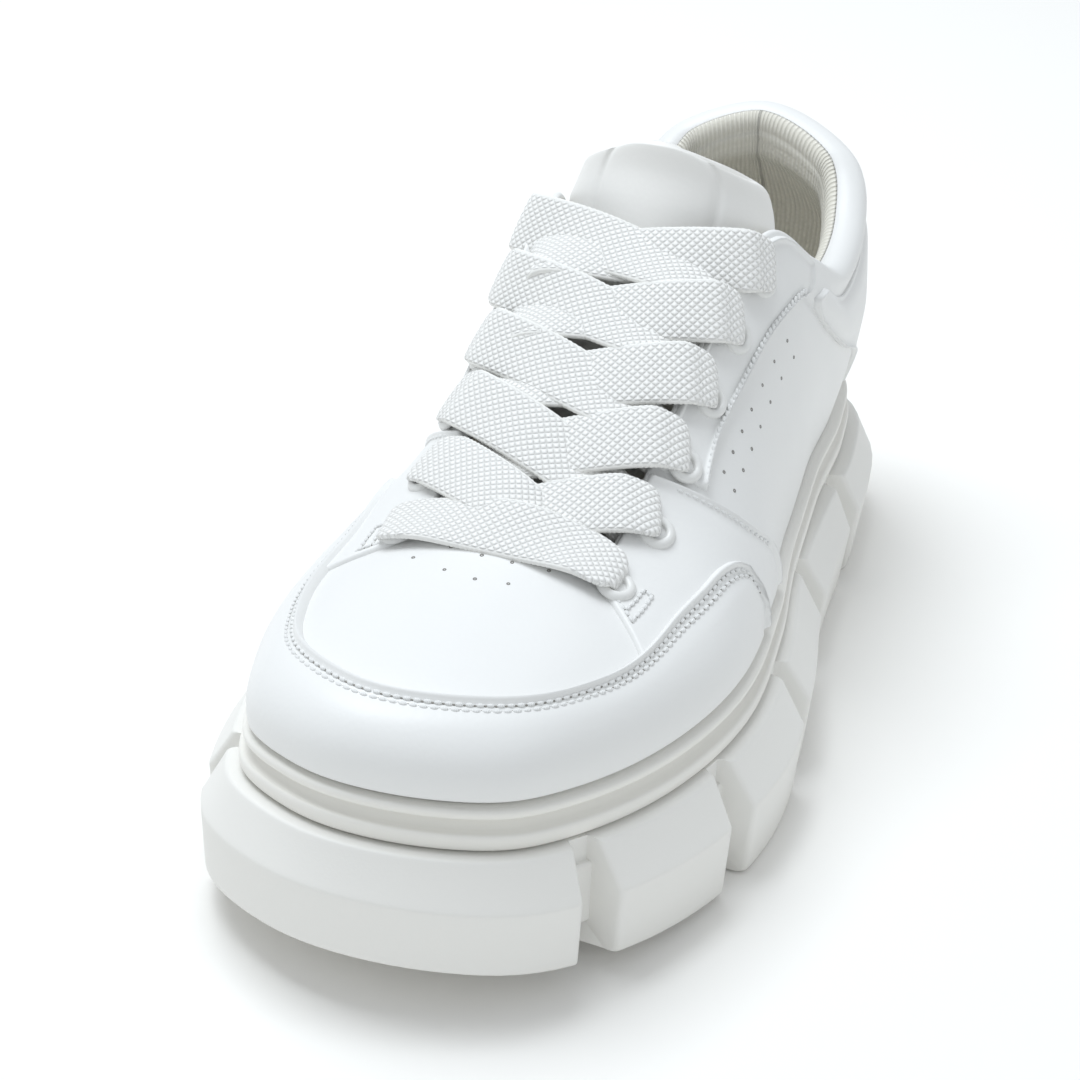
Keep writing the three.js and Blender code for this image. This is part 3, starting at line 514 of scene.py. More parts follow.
def opening_at(place):
    """Edge point, arrival direction, base point, departure and the two reaches at each place."""
    place = np.asarray(place, float)
    place = np.where(place > 1, place - 2, np.where(place < -1, place + 2, place))
    side, at = np.where(place >= 0, 1.0, -1.0), np.abs(place)
    along, rise, turn, lift, lean, foot, head = (table_curve(opening, k, at) for k in (1, 4, 5, 6, 7, 8, 9))
    outer, inner = (table_curve(opening, k, at, flat_ends=False) for k in (2, 3))
    width = np.where(place >= 0, outer, inner)
    turn, lift, lean = np.radians(turn), np.radians(lift), np.radians(lean)
    edge = np.stack([
        side * width * throat_width / 2 + toe_line(along), length_at(along), rim_top + rise * heel_rise], -1)
    arrival = np.stack([-side * np.cos(turn) * np.cos(lift), np.sin(turn) * np.cos(lift), np.sin(lift)], -1)
    base = rim_point(place, np.full(place.shape, feather_inset), rim_top + seat)
    normal = loop_normal(place)
    departure = np.concatenate([normal * np.sin(lean)[..., None], np.cos(lean)[..., None]], -1)
    return edge, arrival, base, departure, foot, head


def skin_point(place, up):
    """Point of the upper's skin: up runs from 0 at the rim to 1 at the opening's edge."""
    place, up = np.broadcast_arrays(np.asarray(place, float), np.asarray(up, float))
    edge, arrival, base, departure, foot, head = opening_at(place)
    chord = np.linalg.norm(edge - base, axis=-1)
    low = base + departure * (foot * chord)[..., None]
    high = edge - arrival * (head * chord)[..., None]
    u, d = up[..., None], 1 - up[..., None]
    return base * d ** 3 + low * 3 * u * d * d + high * 3 * u * u * d + edge * u ** 3


def skin_frame(place, up):
    """Directions round the shoe, up the skin and out of it."""
    place, up = np.broadcast_arrays(np.asarray(place, float), np.asarray(up, float))
    along = skin_point(place + 0.01, up) - skin_point(place - 0.01, up)
    rise = skin_point(place, np.minimum(up + 0.01, 1)) - skin_point(place, np.maximum(up - 0.01, 0))
    along /= np.linalg.norm(along, axis=-1, keepdims=True)
    rise /= np.linalg.norm(rise, axis=-1, keepdims=True)
    normal = np.cross(along, rise)
    return along, rise, normal / np.linalg.norm(normal, axis=-1, keepdims=True)


# place round the shoe, share of the collar's padding
collar_share = np.array([(0.0, 0.0), (0.66, 0.0), (0.715, 0.10), (0.765, 0.80), (0.81, 1.0), (1.0, 1.0)])
# height of the quarter under the collar, and the skin's size round one side and up it
collar_depth, skin_size = 72, (330, 75)


def swell(value, centre, width):
    """A smooth hump, 1 at its centre."""
    return np.exp(-(((value - centre) / width) ** 2))


def hand_creases(place, up):
    """Soft troughs and swellings of the worn-in leather, in millimetres."""
    at = np.abs(place)
    at = np.where(at > 1, 2 - at, at)
    flex = -0.30 * swell(at - 0.05 * up, 0.33, 0.018) * swell(up, 0.72, 0.16)
    slanted = up + 2.1 * (at - 0.655)
    fold = -0.7 * swell(slanted, 0.80, 0.03) * swell(at, 0.72, 0.075)
    puff = 0.8 * swell(slanted, 0.93, 0.09) * swell(at, 0.73, 0.07)
    slack = 0.16 * np.sin(at * 41 + 3 * up) * np.sin(up * 9) * np.clip((at - 0.2) / 0.2, 0, 1)
    below = (1 - up) * collar_depth
    valley = table_curve(collar_share, 1, at) * (0.7 * swell(below, 5, 3) - 1.1 * swell(below, 11.5, 2.2))
    dent = -0.8 * swell(at, 0.635, 0.03) * swell(up, 0.90, 0.05)
    return flex + fold + puff + slack + valley + dent


def skin_offset(place, up, distance):
    """Point a distance in millimetres off the skin, with the creases in it."""
    _, _, normal = skin_frame(place, up)
    return skin_point(place, up) + normal * (np.asarray(distance) + hand_creases(place, up))[..., None]


roll_places = np.linspace(-1, 1, 421)[1:]
padding = table_curve(collar_share, 1, np.abs(roll_places))
edge_radius, collar_padding, crest_rise, crest_limit = 1.0, 4.0, 1.8, 6
roll_radius = edge_radius + collar_padding * padding
edge, _, base, _, _, _ = opening_at(roll_places)
chord = np.linalg.norm(edge - base, axis=-1) * 1.12
roll_start = 1 - roll_radius / chord
along, rise, normal = skin_frame(roll_places, roll_start)
roll_centre = skin_offset(roll_places, roll_start, -roll_radius)
crest_height = roll_centre[:, 2] + roll_radius * np.hypot(rise[:, 2], normal[:, 2])
crest_gap = np.clip(edge[:, 2] + crest_rise - crest_height, 0, crest_limit)
crest_lift = (padding * crest_gap)[:, None] * np.array([0, 0, 1])
roll_centre += crest_lift


def roll_row(angle, proud=0.0):
    """A row round the collar's roll, at an angle from the outside over the crest."""
    reach, angle = (roll_radius + proud)[:, None], np.broadcast_to(angle, roll_radius.shape)[:, None]
    return roll_centre + normal * reach * np.cos(angle) + rise * reach * np.sin(angle)


def inner_row(up, proud=0.0):
    """Inner surface: as deep as the roll under the collar, one wall thick further down."""
    fade = np.clip((roll_start - up) / 0.42, 0, 1)
    fade = fade * fade * (3 - 2 * fade)
    depth = 2 * roll_radius * (1 - fade) + (wall + 1.2 * padding * (1 - fade)) * fade
    row = skin_offset(roll_places, up, -depth - proud)
    return row + crest_lift * np.clip(up / roll_start, 0, 1)[:, None] ** 3


rows = [
    skin_offset(roll_places, share * roll_start, 0) + crest_lift * share ** 6 for share in np.linspace(0, 1, 56)]
rows += [roll_row(math.radians(angle)) for angle in range(15, 180, 15)]
rows += [inner_row(share * roll_start) for share in np.linspace(1, 0, 26)]
rows[-1][:, 2] = rows[0][:, 2]
points = np.array(rows).reshape(-1, 3)
faces = grid_faces(len(rows), len(roll_places), wrap=True) + closing_faces(len(rows), len(roll_places))


def leather_finish(name, light, shade, roughness):
    """Smooth coated leather with fine pores and a faint softness."""
    leather = Finish(name)
    inputs = {"Vector": leather.place(), "Scale": 900.0, "Randomness": 1.0}
    cells = leather.node("TexVoronoi", inputs, output="Distance", feature="SMOOTH_F1")
    fine = leather.bump(cells, 0.00008, 0.35)
    soft = leather.bump(leather.noise(45.0, 3.0), 0.0008, 0.16, fine)
    tone = leather.noise(14.0, 3.0)
    leather.surface(
        Base_Color=leather.blend(tone, light, shade),
        Roughness=leather.noise(120.0, 3.0) * 0.12 + roughness,
        Normal=soft, Sheen_Weight=0.04, Specular_IOR_Level=0.45,
    )
    return leather.material


upper_leather = leather_finish("upper_leather", (0.85, 0.852, 0.84), (0.83, 0.83, 0.815), 0.36)
upper = build_mesh("upper_shell", points, faces, [upper_leather])
turn_outward(upper)
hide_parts("upper")
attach(upper, "root")

# Lining: creamy ribbed knit over the collar's padding and down the inside. It starts on
# the crest of the collar roll and ends at the insole.
lining_proud, lining_seat, wall_seat = 0.7, 0.02, 0.05
start_angle = np.radians(180 - 66 * padding)
roll_shares, wall_shares = np.linspace(0, 1, 9), np.linspace(0.02, 1, 34)
rows = []
for share in roll_shares:
    proud = max(lining_seat, lining_proud * math.sin(math.pi / 2 * min(1, share * 3)))
    rows.append(roll_row(start_angle + (math.pi - start_angle) * share, proud))
rows += [inner_row(share * roll_start, lining_proud) for share in wall_shares[::-1]]
rows += [inner_row(share * roll_start, wall_seat) for share in wall_shares]
rows += [roll_row(start_angle + (math.pi - start_angle) * share, lining_seat) for share in roll_shares[:0:-1]]
rows = np.array(rows)
points = rows.reshape(-1, 3)
faces = grid_faces(len(rows), len(roll_places), wrap=True) + closing_faces(len(rows), len(roll_places))
steps = np.linalg.norm(np.diff(rows, axis=0), axis=2).mean(1)
down = np.concatenate([[0], np.cumsum(steps)])
around = roll_places * skin_size[0]
uv = np.stack(np.broadcast_arrays(around[None, :], down[:, None]), -1)

knit = Finish("lining_knit")
spread = knit.node("SeparateXYZ", {"Vector": knit.node("UVMap", uv_map="knit")}, output="X")
course = Field(knit.tree, spread.socket.node.outputs["Y"])
rib_pitch, stitch_pitch = 1.5, 1.3
ribs = (spread * (2 * math.pi / rib_pitch)).math("SINE") * 0.5 + 0.5
loops = (course * (2 * math.pi / stitch_pitch)).math("SINE") * 0.5 + 0.5
stitch = ribs * (loops * 0.35 + 0.65)
# the colour follows the rib and course relief of the bump: painted shade darkens the troughs between ribs and
# loops
shade = knit.blend(stitch, (0.76, 0.735, 0.65), (0.90, 0.875, 0.79))
knit.surface(
    Base_Color=shade, Roughness=0.92, Sheen_Weight=0.3, Sheen_Roughness=0.5,
    Normal=knit.bump(stitch + knit.noise(900.0, 2.0) * 0.25, 0.0005, 0.7),
)
lining = build_mesh("collar_lining", points, faces, [knit.material], uv=uv, uv_name="knit")
turn_outward(lining)
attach(lining, "root")

# Toe guard: a thicker strip of the same leather lasted round the toe. Its upper edge is
# turned over into a bead, and two rows of stitches hold it down just below.
overlay, guard_overlay, sheet_foot = 1.2, 1.6, 0.015
sheet_sink, sheet_seat, sheet_round = 0.25, 0.05, 0.9
guard_edge = np.array([
    (0.00, 0.425), (0.10, 0.440), (0.20, 0.495), (0.30, 0.570), (0.36, 0.550), (0.41, 0.500),
    (0.435, 0.380), (0.450, 0.080),
])
guard_end = guard_edge[-1, 0]


def edge_samples(length, reach=3.2, step=2.6):
    """Shares along a sheet, close together where its edge is rounded."""
    near = np.array([0, 0.08, 0.25, 0.5, 0.8, 1.2, 1.7, 2.3, reach])
    middle = np.linspace(reach, length - reach, max(2, int((length - 2 * reach) / step) + 1))[1:-1]
    return np.concatenate([near, middle, length - near[::-1]]) / length


def sheet_piece(name, patch, size, thickness, finish, relief):
    """A sheet over a patch of the skin with rounded edges. relief adds height in millimetres
    from the distances to the foot, top, start and end edges."""
    across, rises = edge_samples(size[0]), edge_samples(size[1])
    a, r = np.meshgrid(across, rises)
    place, up = patch(a, r)
    surface = skin_point(place, up)
    start = np.array([run_lengths(row) for row in surface])
    foot = np.array([run_lengths(row) for row in surface.swapaxes(0, 1)]).T
    top, end = foot[-1:] - foot, start[:, -1:] - start
    near = np.minimum(np.minimum(foot, top), np.minimum(start, end))
    bend = np.clip(near / sheet_round, 0, 1)
    height = thickness * np.sqrt(1 - (1 - bend) ** 2) + relief(foot, top, start, end) * bend
    upper_side = skin_offset(place, up, height + sheet_seat)
    under_side = skin_offset(place, up, np.full(place.shape, -sheet_sink))
    count, columns = place.size, len(across)
    points = np.concatenate([upper_side.reshape(-1, 3), under_side.reshape(-1, 3)])
    faces = grid_faces(len(rises), columns)
    faces += [face[::-1] for face in grid_faces(len(rises), columns, start=count)]
    border = list(range(columns))
    border += [r * columns + columns - 1 for r in range(1, len(rises))]
    border += [(len(rises) - 1) * columns + i for i in range(columns - 2, -1, -1)]
    border += [r * columns for r in range(len(rises) - 2, 0, -1)]
    faces += [(here, past, past + count, here + count) for past, here in zip(border[-1:] + border, border)]
    piece = build_mesh(name, points, faces, [finish])
    turn_outward(piece)
    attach(piece, "root")
    return piece


def guard_patch(across, rise):
    """Place and height on the skin, from the guard's inner end to its outer end."""
    place = guard_end * (2 * across - 1)
    top = table_curve(guard_edge, 1, np.abs(place))
    return place, sheet_foot + (top - sheet_foot) * rise


def guard_relief(foot, top, start, end):
    """A bead along the free edges and a channel for the stitches."""
    near = np.minimum(top, np.minimum(start, end))
    return 0.9 * swell(near, 0.9, 0.6) - 0.6 * np.exp(-(((near - 3.3) / 1.5) ** 4))


guard_leather = leather_finish("guard_leather", (0.848, 0.85, 0.838), (0.828, 0.828, 0.812), 0.35)
toe_guard = sheet_piece(
    "toe_guard_strip", guard_patch, (300, 34), guard_overlay, guard_leather, guard_relief)
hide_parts("toe_guard")


def scatter_tree():
    """Sets copies of a piece on points: each stands on its point's facing, along its heading."""
    tree = bpy.data.node_groups.new("set_on_points", "GeometryNodeTree")
    kinds = {"Geometry": "Geometry", "Piece": "Object", "Finish": "Material", "Uneven": "Float", "Seed": "Int"}
    for title, kind in kinds.items():
        tree.interface.new_socket(title, in_out="INPUT", socket_type="NodeSocket" + kind)
    tree.interface.new_socket("Geometry", in_out="OUTPUT", socket_type="NodeSocketGeometry")

    def node(kind, inputs=(), **settings):
        made = tree.nodes.new(kind)
        for key, value in settings.items():
            setattr(made, key, value)
        for key, value in dict(inputs).items():
            if isinstance(value, bpy.types.NodeSocket):
                tree.links.new(value, made.inputs[key])
            else:
                made.inputs[key].default_value = value
        return made

    entry = node("NodeGroupInput").outputs
    facing, heading = (
        node("GeometryNodeInputNamedAttribute", {"Name": key}, data_type="FLOAT_VECTOR").outputs[0]
        for key in ("facing", "heading"))
    upright = node("FunctionNodeAlignRotationToVector", {"Vector": facing}, axis="Z").outputs[0]
    turned = node(
        "FunctionNodeAlignRotationToVector", {"Rotation": upright, "Vector": heading}, axis="X",
        pivot_axis="Z").outputs[0]
    spread = node("FunctionNodeRandomValue", {"Seed": entry["Seed"]}, data_type="FLOAT")
    for name, operation in (("Min", "SUBTRACT"), ("Max", "ADD")):
        value = node("ShaderNodeMath", {0: 1.0, 1: entry["Uneven"]}, operation=operation).outputs[0]
        tree.links.new(value, next(s for s in spread.inputs if s.name == name and s.type == "VALUE"))
    size = next(s for s in spread.outputs if s.type == "VALUE" and s.enabled)
    shape = node("GeometryNodeObjectInfo", {"Object": entry["Piece"]}).outputs["Geometry"]
    copies = node("GeometryNodeInstanceOnPoints", {
        "Points": entry["Geometry"], "Instance": shape, "Rotation": turned, "Scale": size})
    real = node("GeometryNodeRealizeInstances", {"Geometry": copies.outputs[0]})
    dressed = node("GeometryNodeSetMaterial", {"Geometry": real.outputs[0], "Material": entry["Finish"]})
    tree.links.new(dressed.outputs[0], node("NodeGroupOutput").inputs[0])
    return tree


set_on_points = scatter_tree()


def set_pieces(name, template, spots, facings, headings, finish, uneven=0.0, seed=1):
    """Copies of template on spots, as one plain mesh. Spots are in millimetres."""
    carrier = build_mesh(name + "_spots", spots, [], [])
    for key, vectors in (("facing", facings), ("heading", headings)):
        layer = carrier.data.attributes.new(key, "FLOAT_VECTOR", "POINT")
        layer.data.foreach_set("vector", np.asarray(vectors, dtype=np.float32).ravel())
    modifier = carrier.modifiers.new("copies", "NODES")
    modifier.node_group = set_on_points
    values = {"Piece": template, "Finish": finish, "Uneven": uneven, "Seed": seed}
    for item in set_on_points.interface.items_tree:
        if item.in_out == "INPUT" and item.name in values:
            modifier[item.identifier] = values[item.name]
    bpy.context.view_layer.update()
    evaluated = carrier.evaluated_get(bpy.context.evaluated_depsgraph_get())
    mesh = bpy.data.meshes.new_from_object(evaluated)
    mesh.shade_smooth()
    piece = bpy.data.objects.new(name, mesh)
    bpy.context.scene.collection.objects.link(piece)
    bpy.data.objects.remove(carrier)
    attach(piece, "root")
    return piece


def template_solid(name, profile, sides, stretch=(1, 1, 1)):
    """A turned solid about Z from (radius, height) pairs in millimetres, kept out of the scene."""
    angles = np.arange(sides) * 2 * math.pi / sides
    points = [
        (r * math.cos(a) * stretch[0] / 1000, r * math.sin(a) * stretch[1] / 1000, z * stretch[2] / 1000)
        for r, z in profile for a in angles
    ]
    faces = grid_faces(len(profile), sides, wrap=True) + end_faces(len(profile), sides)
    mesh = bpy.data.meshes.new(name)
    mesh.from_pydata(points, [], faces)
    return bpy.data.objects.new(name, mesh)


thread = Finish("stitch_thread")
twist = thread.node("TexWave", {"Vector": thread.place(), "Scale": 900.0, "Distortion": 1.0}, output="Fac")
# the colour follows the twist relief of the bump: painted shade darkens the grooves between the plies
thread.surface(
    Base_Color=thread.blend(twist, (0.80, 0.81, 0.80), (0.87, 0.87, 0.86)), Roughness=0.7, Sheen_Weight=0.2,
    Normal=thread.bump(twist, 0.0001, 0.5),
)
stitch_profile = [(0.14, -0.25), (0.42, -0.12), (0.50, 0.10), (0.42, 0.32), (0.14, 0.44)]
stitch_shape = template_solid("stitch_shape", stitch_profile, 10, (1.75, 0.95, 1))
# Pits: small dark discs sunk at the needle holes, painted shade in place of the holes' shadow
pit_profile = [(0.10, -0.4), (0.30, -0.1), (0.33, 0.02), (0.22, 0.05), (0.05, 0.02)]
pit_shape = template_solid("pit_shape", pit_profile, 8)
needle_hole_shade = Finish("stitch_hole_painted_shade")
needle_hole_shade.surface(
    Base_Color=needle_hole_shade.blend(needle_hole_shade.noise(400.0), (0.22, 0.21, 0.19), (0.34, 0.32, 0.29)), Roughness=0.9)


def shifted_up(place, up, distance):
    """Height on the skin a distance in millimetres further down."""
    step = skin_point(place, np.minimum(up + 0.01, 1)) - skin_point(place, np.maximum(up - 0.01, 0))
    span = np.minimum(up + 0.01, 1) - np.maximum(up - 0.01, 0)
    return up - distance * span / np.linalg.norm(step, axis=-1)


def skin_path(points, t):
    """A smooth line through (place, up) pairs on the skin, at shares t of its spans."""
    return smooth_path(np.asarray(points, float) * skin_size, t) / skin_size


def stitch_row(name, line_points, height, pitch, seed, sides=(1, -1), below=0.0, slant=0.0, pits=False):
    """Stitches along a line of (place, up) pairs on the skin, on the sides named."""
    spots, facings, headings = [], [], []
    for side in sides:
        line = skin_path(line_points, np.linspace(0, 1, 500))
        at, up = line[:, 0] * side, line[:, 1]
        if below:
            up = shifted_up(at, up, below)
        line = skin_offset(at, up, np.full(at.shape, height))
        length = run_lengths(line)
        marks = np.arange(pitch / 2, length[-1], pitch)
        at, up = np.interp(marks, length, at), np.interp(marks, length, up)
        _, rise, facing = skin_frame(at, up)
        spots.append(np.stack([np.interp(marks, length, line[:, k]) for k in range(3)], 1))
        ahead = np.stack([np.interp(marks + 0.5, length, line[:, k]) for k in range(3)], 1) - spots[-1]
        ahead /= np.linalg.norm(ahead, axis=1, keepdims=True)
        headings.append(ahead + rise * slant)
        facings.append(facing)
    spots, facings, headings = (np.concatenate(v) for v in (spots, facings, headings))
    piece = set_pieces(name, stitch_shape, spots, facings, headings, thread.material, 0.08, seed)
    # the pits are the dark discs of painted shade at the needle holes
    if pits:
        ahead = headings / np.linalg.norm(headings, axis=1, keepdims=True)
        holes = set_pieces(
            name + "_pits", pit_shape, spots + ahead * pitch / 2, facings, headings, needle_hole_shade.material, 0.1,
            seed + 50)


guard_line = np.linspace(0, guard_end - 0.012, 60)
guard_line = np.stack([guard_line, table_curve(guard_edge, 1, guard_line)], 1)
for row, drop in enumerate((2.5, 4.1)):
    stitch_row(f"guard_stitches_{row + 1}", guard_line, guard_overlay - 0.42, 2.1, 5 + row, below=drop, pits=True)

# Heel panel: one piece of leather that wraps the heel from the collar's dips to the
# sole, with a seam up the back.
heel_edge = np.array([
    (0.015, 0.835), (0.15, 0.828), (0.30, 0.815), (0.455, 0.785), (0.58, 0.742), (0.68, 0.703),
    (0.76, 0.690), (0.86, 0.712),
])


def heel_patch(across, rise):
    """Place and height on the skin, from the outer front edge round the heel to the inner one."""
    up = heel_edge[0, 0] + (heel_edge[-1, 0] - heel_edge[0, 0]) * rise
    front = table_curve(heel_edge, 1, up, flat_ends=False)
    return front + (2 - 2 * front) * across, up


def heel_relief(foot, top, start, end):
    """A bead along both front edges."""
    return 0.75 * swell(np.minimum(start, end), 1.2, 0.8)


heel_panel = sheet_piece("heel_wrap", heel_patch, (170, 58), 0.7, upper_leather, heel_relief)
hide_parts("heel_panel")
stitch_row("heel_seam_stitches", [(0.999, 0.1), (0.999, 0.5), (0.999, 0.84)], 0.6, 2.6, 11, sides=(1,))

# Front panels: one on each side between the toe guard, the throat and the eyestay, with
# a box of stitches where panel, vamp and throat meet.
vamp_seam = [(0.253, 0.015), (0.253, 0.30), (0.246, 0.60), (0.236, 0.80), (0.226, 0.985)]
rear_seam = [
    (0.510, 0.015), (0.495, 0.28), (0.478, 0.41), (0.463, 0.565), (0.448, 0.715), (0.432, 0.87), (0.420, 0.985),
]


def edged_patch(side, foot, end, top, start):
    """A patch between four edges, each a list of (place, up) pairs: foot and top run from
    start to end, start and end from foot to top."""
    def patch(across, rise):
        a, r = across[0], rise[:, 0]
        low, right, high, left = (
            skin_path(edge, share) for edge, share in zip((foot, end, top, start), (a, r, a, r)))
        a, r = across[..., None], rise[..., None]
        corners = (
            (1 - a) * (1 - r) * low[0] + a * (1 - r) * low[-1] + (1 - a) * r * high[0] + a * r * high[-1])
        both = (1 - r) * low[None] + r * high[None] + (1 - a) * left[:, None] + a * right[:, None] - corners
        return side * both[..., 0], both[..., 1]
    return patch


def panel_relief(foot, top, start, end):
    """A bead on both side edges, faded out where the guard covers the front one."""
    near = np.minimum(start + 9 * np.clip((44 - foot) / 8, 0, 1), end)
    return 0.75 * swell(near, 0.9, 0.6) - 0.3 * swell(end, 2.7, 0.7)


for name, side in (("outer", 1), ("inner", -1)):
    panel_foot, panel_top = ([vamp_seam[k], rear_seam[k]] for k in (0, -1))
    patch = edged_patch(side, panel_foot, rear_seam, panel_top, vamp_seam)
    panel = sheet_piece(f"side_panel_{name}", patch, (70, 46), overlay - 0.1, upper_leather, panel_relief)
    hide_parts(f"front_panel_{name}")

panel_line = [(place - 0.007, up) for place, up in rear_seam[1:-1]]
stitch_row("panel_stitches", panel_line, overlay - 0.25, 2.0, 21)
stitch_row("vamp_stitches", [(0.238, 0.93), (0.246, 0.80), (0.253, 0.66)], overlay - 0.2, 2.0, 22)
corner_box = [(0.248, 0.748), (0.251, 0.690), (0.300, 0.708), (0.298, 0.757), (0.250, 0.750)]
for k in range(4):
    stitch_row(f"corner_box_stitches_{k + 1}", corner_box[k:k + 2], overlay + 0.05, 1.7, 23 + k, pits=True)

# Eyestays: the stiffened panels that carry the upper eyelets, stitched all along their
# lower edge, with a piped edge along the throat and the collar's front.
stay_foot = [
    (0.4555, 0.712), (0.472, 0.738), (0.498, 0.762), (0.532, 0.768), (0.570, 0.760), (0.602, 0.753),
    (0.640, 0.742), (0.664, 0.742),
]
stay_end = [(0.664, 0.742), (0.678, 0.765), (0.686, 0.81), (0.692, 0.88), (0.700, 0.955)]
stay_top = [(0.428, 0.985), (0.50, 0.985), (0.60, 0.985), (0.66, 0.975), (0.700, 0.955)]
stay_start = [(0.4555, 0.712), (0.440, 0.87), (0.428, 0.985)]


def stay_relief(foot, top, start, end):
    """A bead and a groove along the stitched foot, and finer ones along the throat and collar."""
    free = np.minimum(top, end)
    bead = 0.85 * swell(foot, 0.9, 0.6) + 0.5 * swell(free, 0.9, 0.5)
    return bead - 0.35 * swell(foot, 2.6, 0.7) - 0.4 * swell(free, 2.2, 0.6)


for name, side in (("outer", 1), ("inner", -1)):
    patch = edged_patch(side, stay_foot, stay_end, stay_top, stay_start)
    stay = sheet_piece(f"eyelet_stay_{name}", patch, (74, 20), overlay, upper_leather, stay_relief)
    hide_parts(f"eyestay_{name}")

stitch_row("stay_stitches", stay_foot[:-1] + [(0.668, 0.752)], overlay + 0.35, 1.75, 31, below=-1.0, slant=0.9)

# Pinholes: small dark discs on the vamp in two rows of four and on each side window in
# two rows of seven, painted shade that stands for the punched holes.
pinhole_shade = Finish("pinhole_painted_shade")
pinhole_shade.surface(
    Base_Color=pinhole_shade.blend(pinhole_shade.noise(400.0), (0.20, 0.19, 0.175), (0.30, 0.29, 0.27)), Roughness=0.9)
# the hole shape is a shallow disc that carries the painted shade; the leather is not cut
hole_profile = [(0.36, -0.25), (0.46, -0.02), (0.44, 0.05), (0.28, 0.02), (0.05, -0.05)]
hole_shape = template_solid("hole_shape", hole_profile, 12)


def punched_rows(name, rows, seed):
    """Holes in rows: from place, to place, from up, to up, count."""
    at = np.concatenate([np.linspace(row[0], row[1], row[4]) for row in rows])
    up = np.concatenate([np.linspace(row[2], row[3], row[4]) for row in rows])
    along, _, facing = skin_frame(at, up)
    spots = skin_offset(at, up, np.full(at.shape, 0.03))
    piece = set_pieces(name, hole_shape, spots, facing, along, pinhole_shade.material, 0.06, seed)


punched_rows("vamp_pinholes", [(-0.152, 0.062, 0.872, 0.885, 4), (-0.113, 0.125, 0.955, 0.955, 4)], 41)
for name, side in (("outer", 1), ("inner", -1)):
    window = [(side * 0.488, side * 0.630, 0.668, 0.650, 7), (side * 0.485, side * 0.633, 0.582, 0.575, 7)]
    punched_rows(f"window_pinholes_{name}", window, 42)

# Tongue: padded leather that comes up from below the laces and ends in a rounded top. Its
# middle panel stands up between two sewn seams.
tongue_width, tongue_shift, tongue_thickness, tongue_arch, corner_fall = 58.0, -3.0, 5.0, 44.0, 9.0

# share of the way up, along, rise, width, thickness (shares of the sizes above)
tongue_rows = np.array([
    (0 / 9, 0.285, 0.250, 0.54, 0.4), (1 / 9, 0.320, 0.300, 0.74, 0.6), (2 / 9, 0.385, 0.430, 0.86, 0.7),
    (3 / 9, 0.460, 0.605, 0.90, 0.8), (4 / 9, 0.530, 0.785, 0.90, 1.0), (5 / 9, 0.575, 0.950, 0.88, 1.1),
    (6 / 9, 0.597, 1.100, 0.90, 1.3), (7 / 9, 0.608, 1.180, 0.84, 1.3), (8 / 9, 0.613, 1.255, 0.66, 1.0),
    (9 / 9, 0.615, 1.280, 0.40, 0.5),
])
t = np.concatenate([np.linspace(0, 0.86, 60), np.linspace(0.86, 1, 20)[1:]])
along, rise, wide, thick = (table_curve(tongue_rows, k, t, flat_ends=False) for k in (1, 2, 3, 4))
slope = np.arctan2(np.gradient(rise) * heel_rise, np.gradient(along) * sole_length)
share = np.sin(np.linspace(-math.pi / 2, math.pi / 2, 97))
edge_round = np.sqrt(np.clip(1 - np.abs(share) ** 6, 0, 1))
rows = []
for k, up in enumerate(t):
    half = wide[k] * tongue_width / 2
    x = share * half
    panel = 0.52 + 0.08 * up
    seam = swell((share + panel) * half, 0, 0.9) + swell((share - panel) * half, 0, 0.9)
    puff = 0.9 * np.clip(1 - (share / panel) ** 2, 0, 1) ** 0.5 - 0.7 * seam
    puff *= edge_round * np.clip((1 - up) / 0.08, 0, 1)
    body = thick[k] * tongue_thickness / 2
    front = x * x / tongue_arch + body * (1 - edge_round) - puff
    back = x * x / tongue_arch + body * (1 + edge_round * (1 - 0.5 * np.abs(share) ** 4))
    fall = corner_fall * np.abs(share) ** 2.6 * np.clip((up - 0.66) / 0.34, 0, 1)
    x += tongue_shift * rise[k] + toe_line(along[k])
    rows.append(np.concatenate([
        np.stack([
            x, length_at(along[k]) + drop * math.sin(slope[k]),
            rim_top + rise[k] * heel_rise - drop * math.cos(slope[k]) - fall], 1)[order]
        for drop, order in ((front, slice(None)), (back, slice(-2, 0, -1)))]))
rows = np.array(rows)
points = rows.reshape(-1, 3)
faces = grid_faces(*rows.shape[:2], wrap=True) + end_faces(*rows.shape[:2])
tongue_leather = leather_finish("tongue_leather", (0.875, 0.868, 0.84), (0.855, 0.845, 0.815), 0.38)
tongue = build_mesh("tongue_pad", points, faces, [tongue_leather])
turn_outward(tongue)
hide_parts("tongue")
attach(tongue, "root")

# Insole: a foam bed covered in woven fabric, 3 mm thick. It lies on the midsole inside the
# upper, and its upper edge is rounded off.
insole_clearance = 1.5
insole_places = np.linspace(-1, 1, 181)[1:]
rows = []
for height, inset in ((0, 0), (0.4, 0), (2.0, 0), (2.7, 0.35), (3.0, 1.2)):
    ring = rim_point(insole_places, np.full(len(insole_places), feather_inset), rim_top + seat + height)
    ring[:, :2] -= loop_normal(insole_places) * (wall + insole_clearance + inset)
    rows.append(ring)
points = np.array(rows).reshape(-1, 3)
faces = grid_faces(len(rows), len(insole_places), wrap=True) + lid_faces(len(rows), len(insole_places))
bed = Finish("insole_fabric")
weft = bed.node("TexWave", {"Vector": bed.place(), "Scale": 260.0, "Distortion": 0.6}, output="Fac")
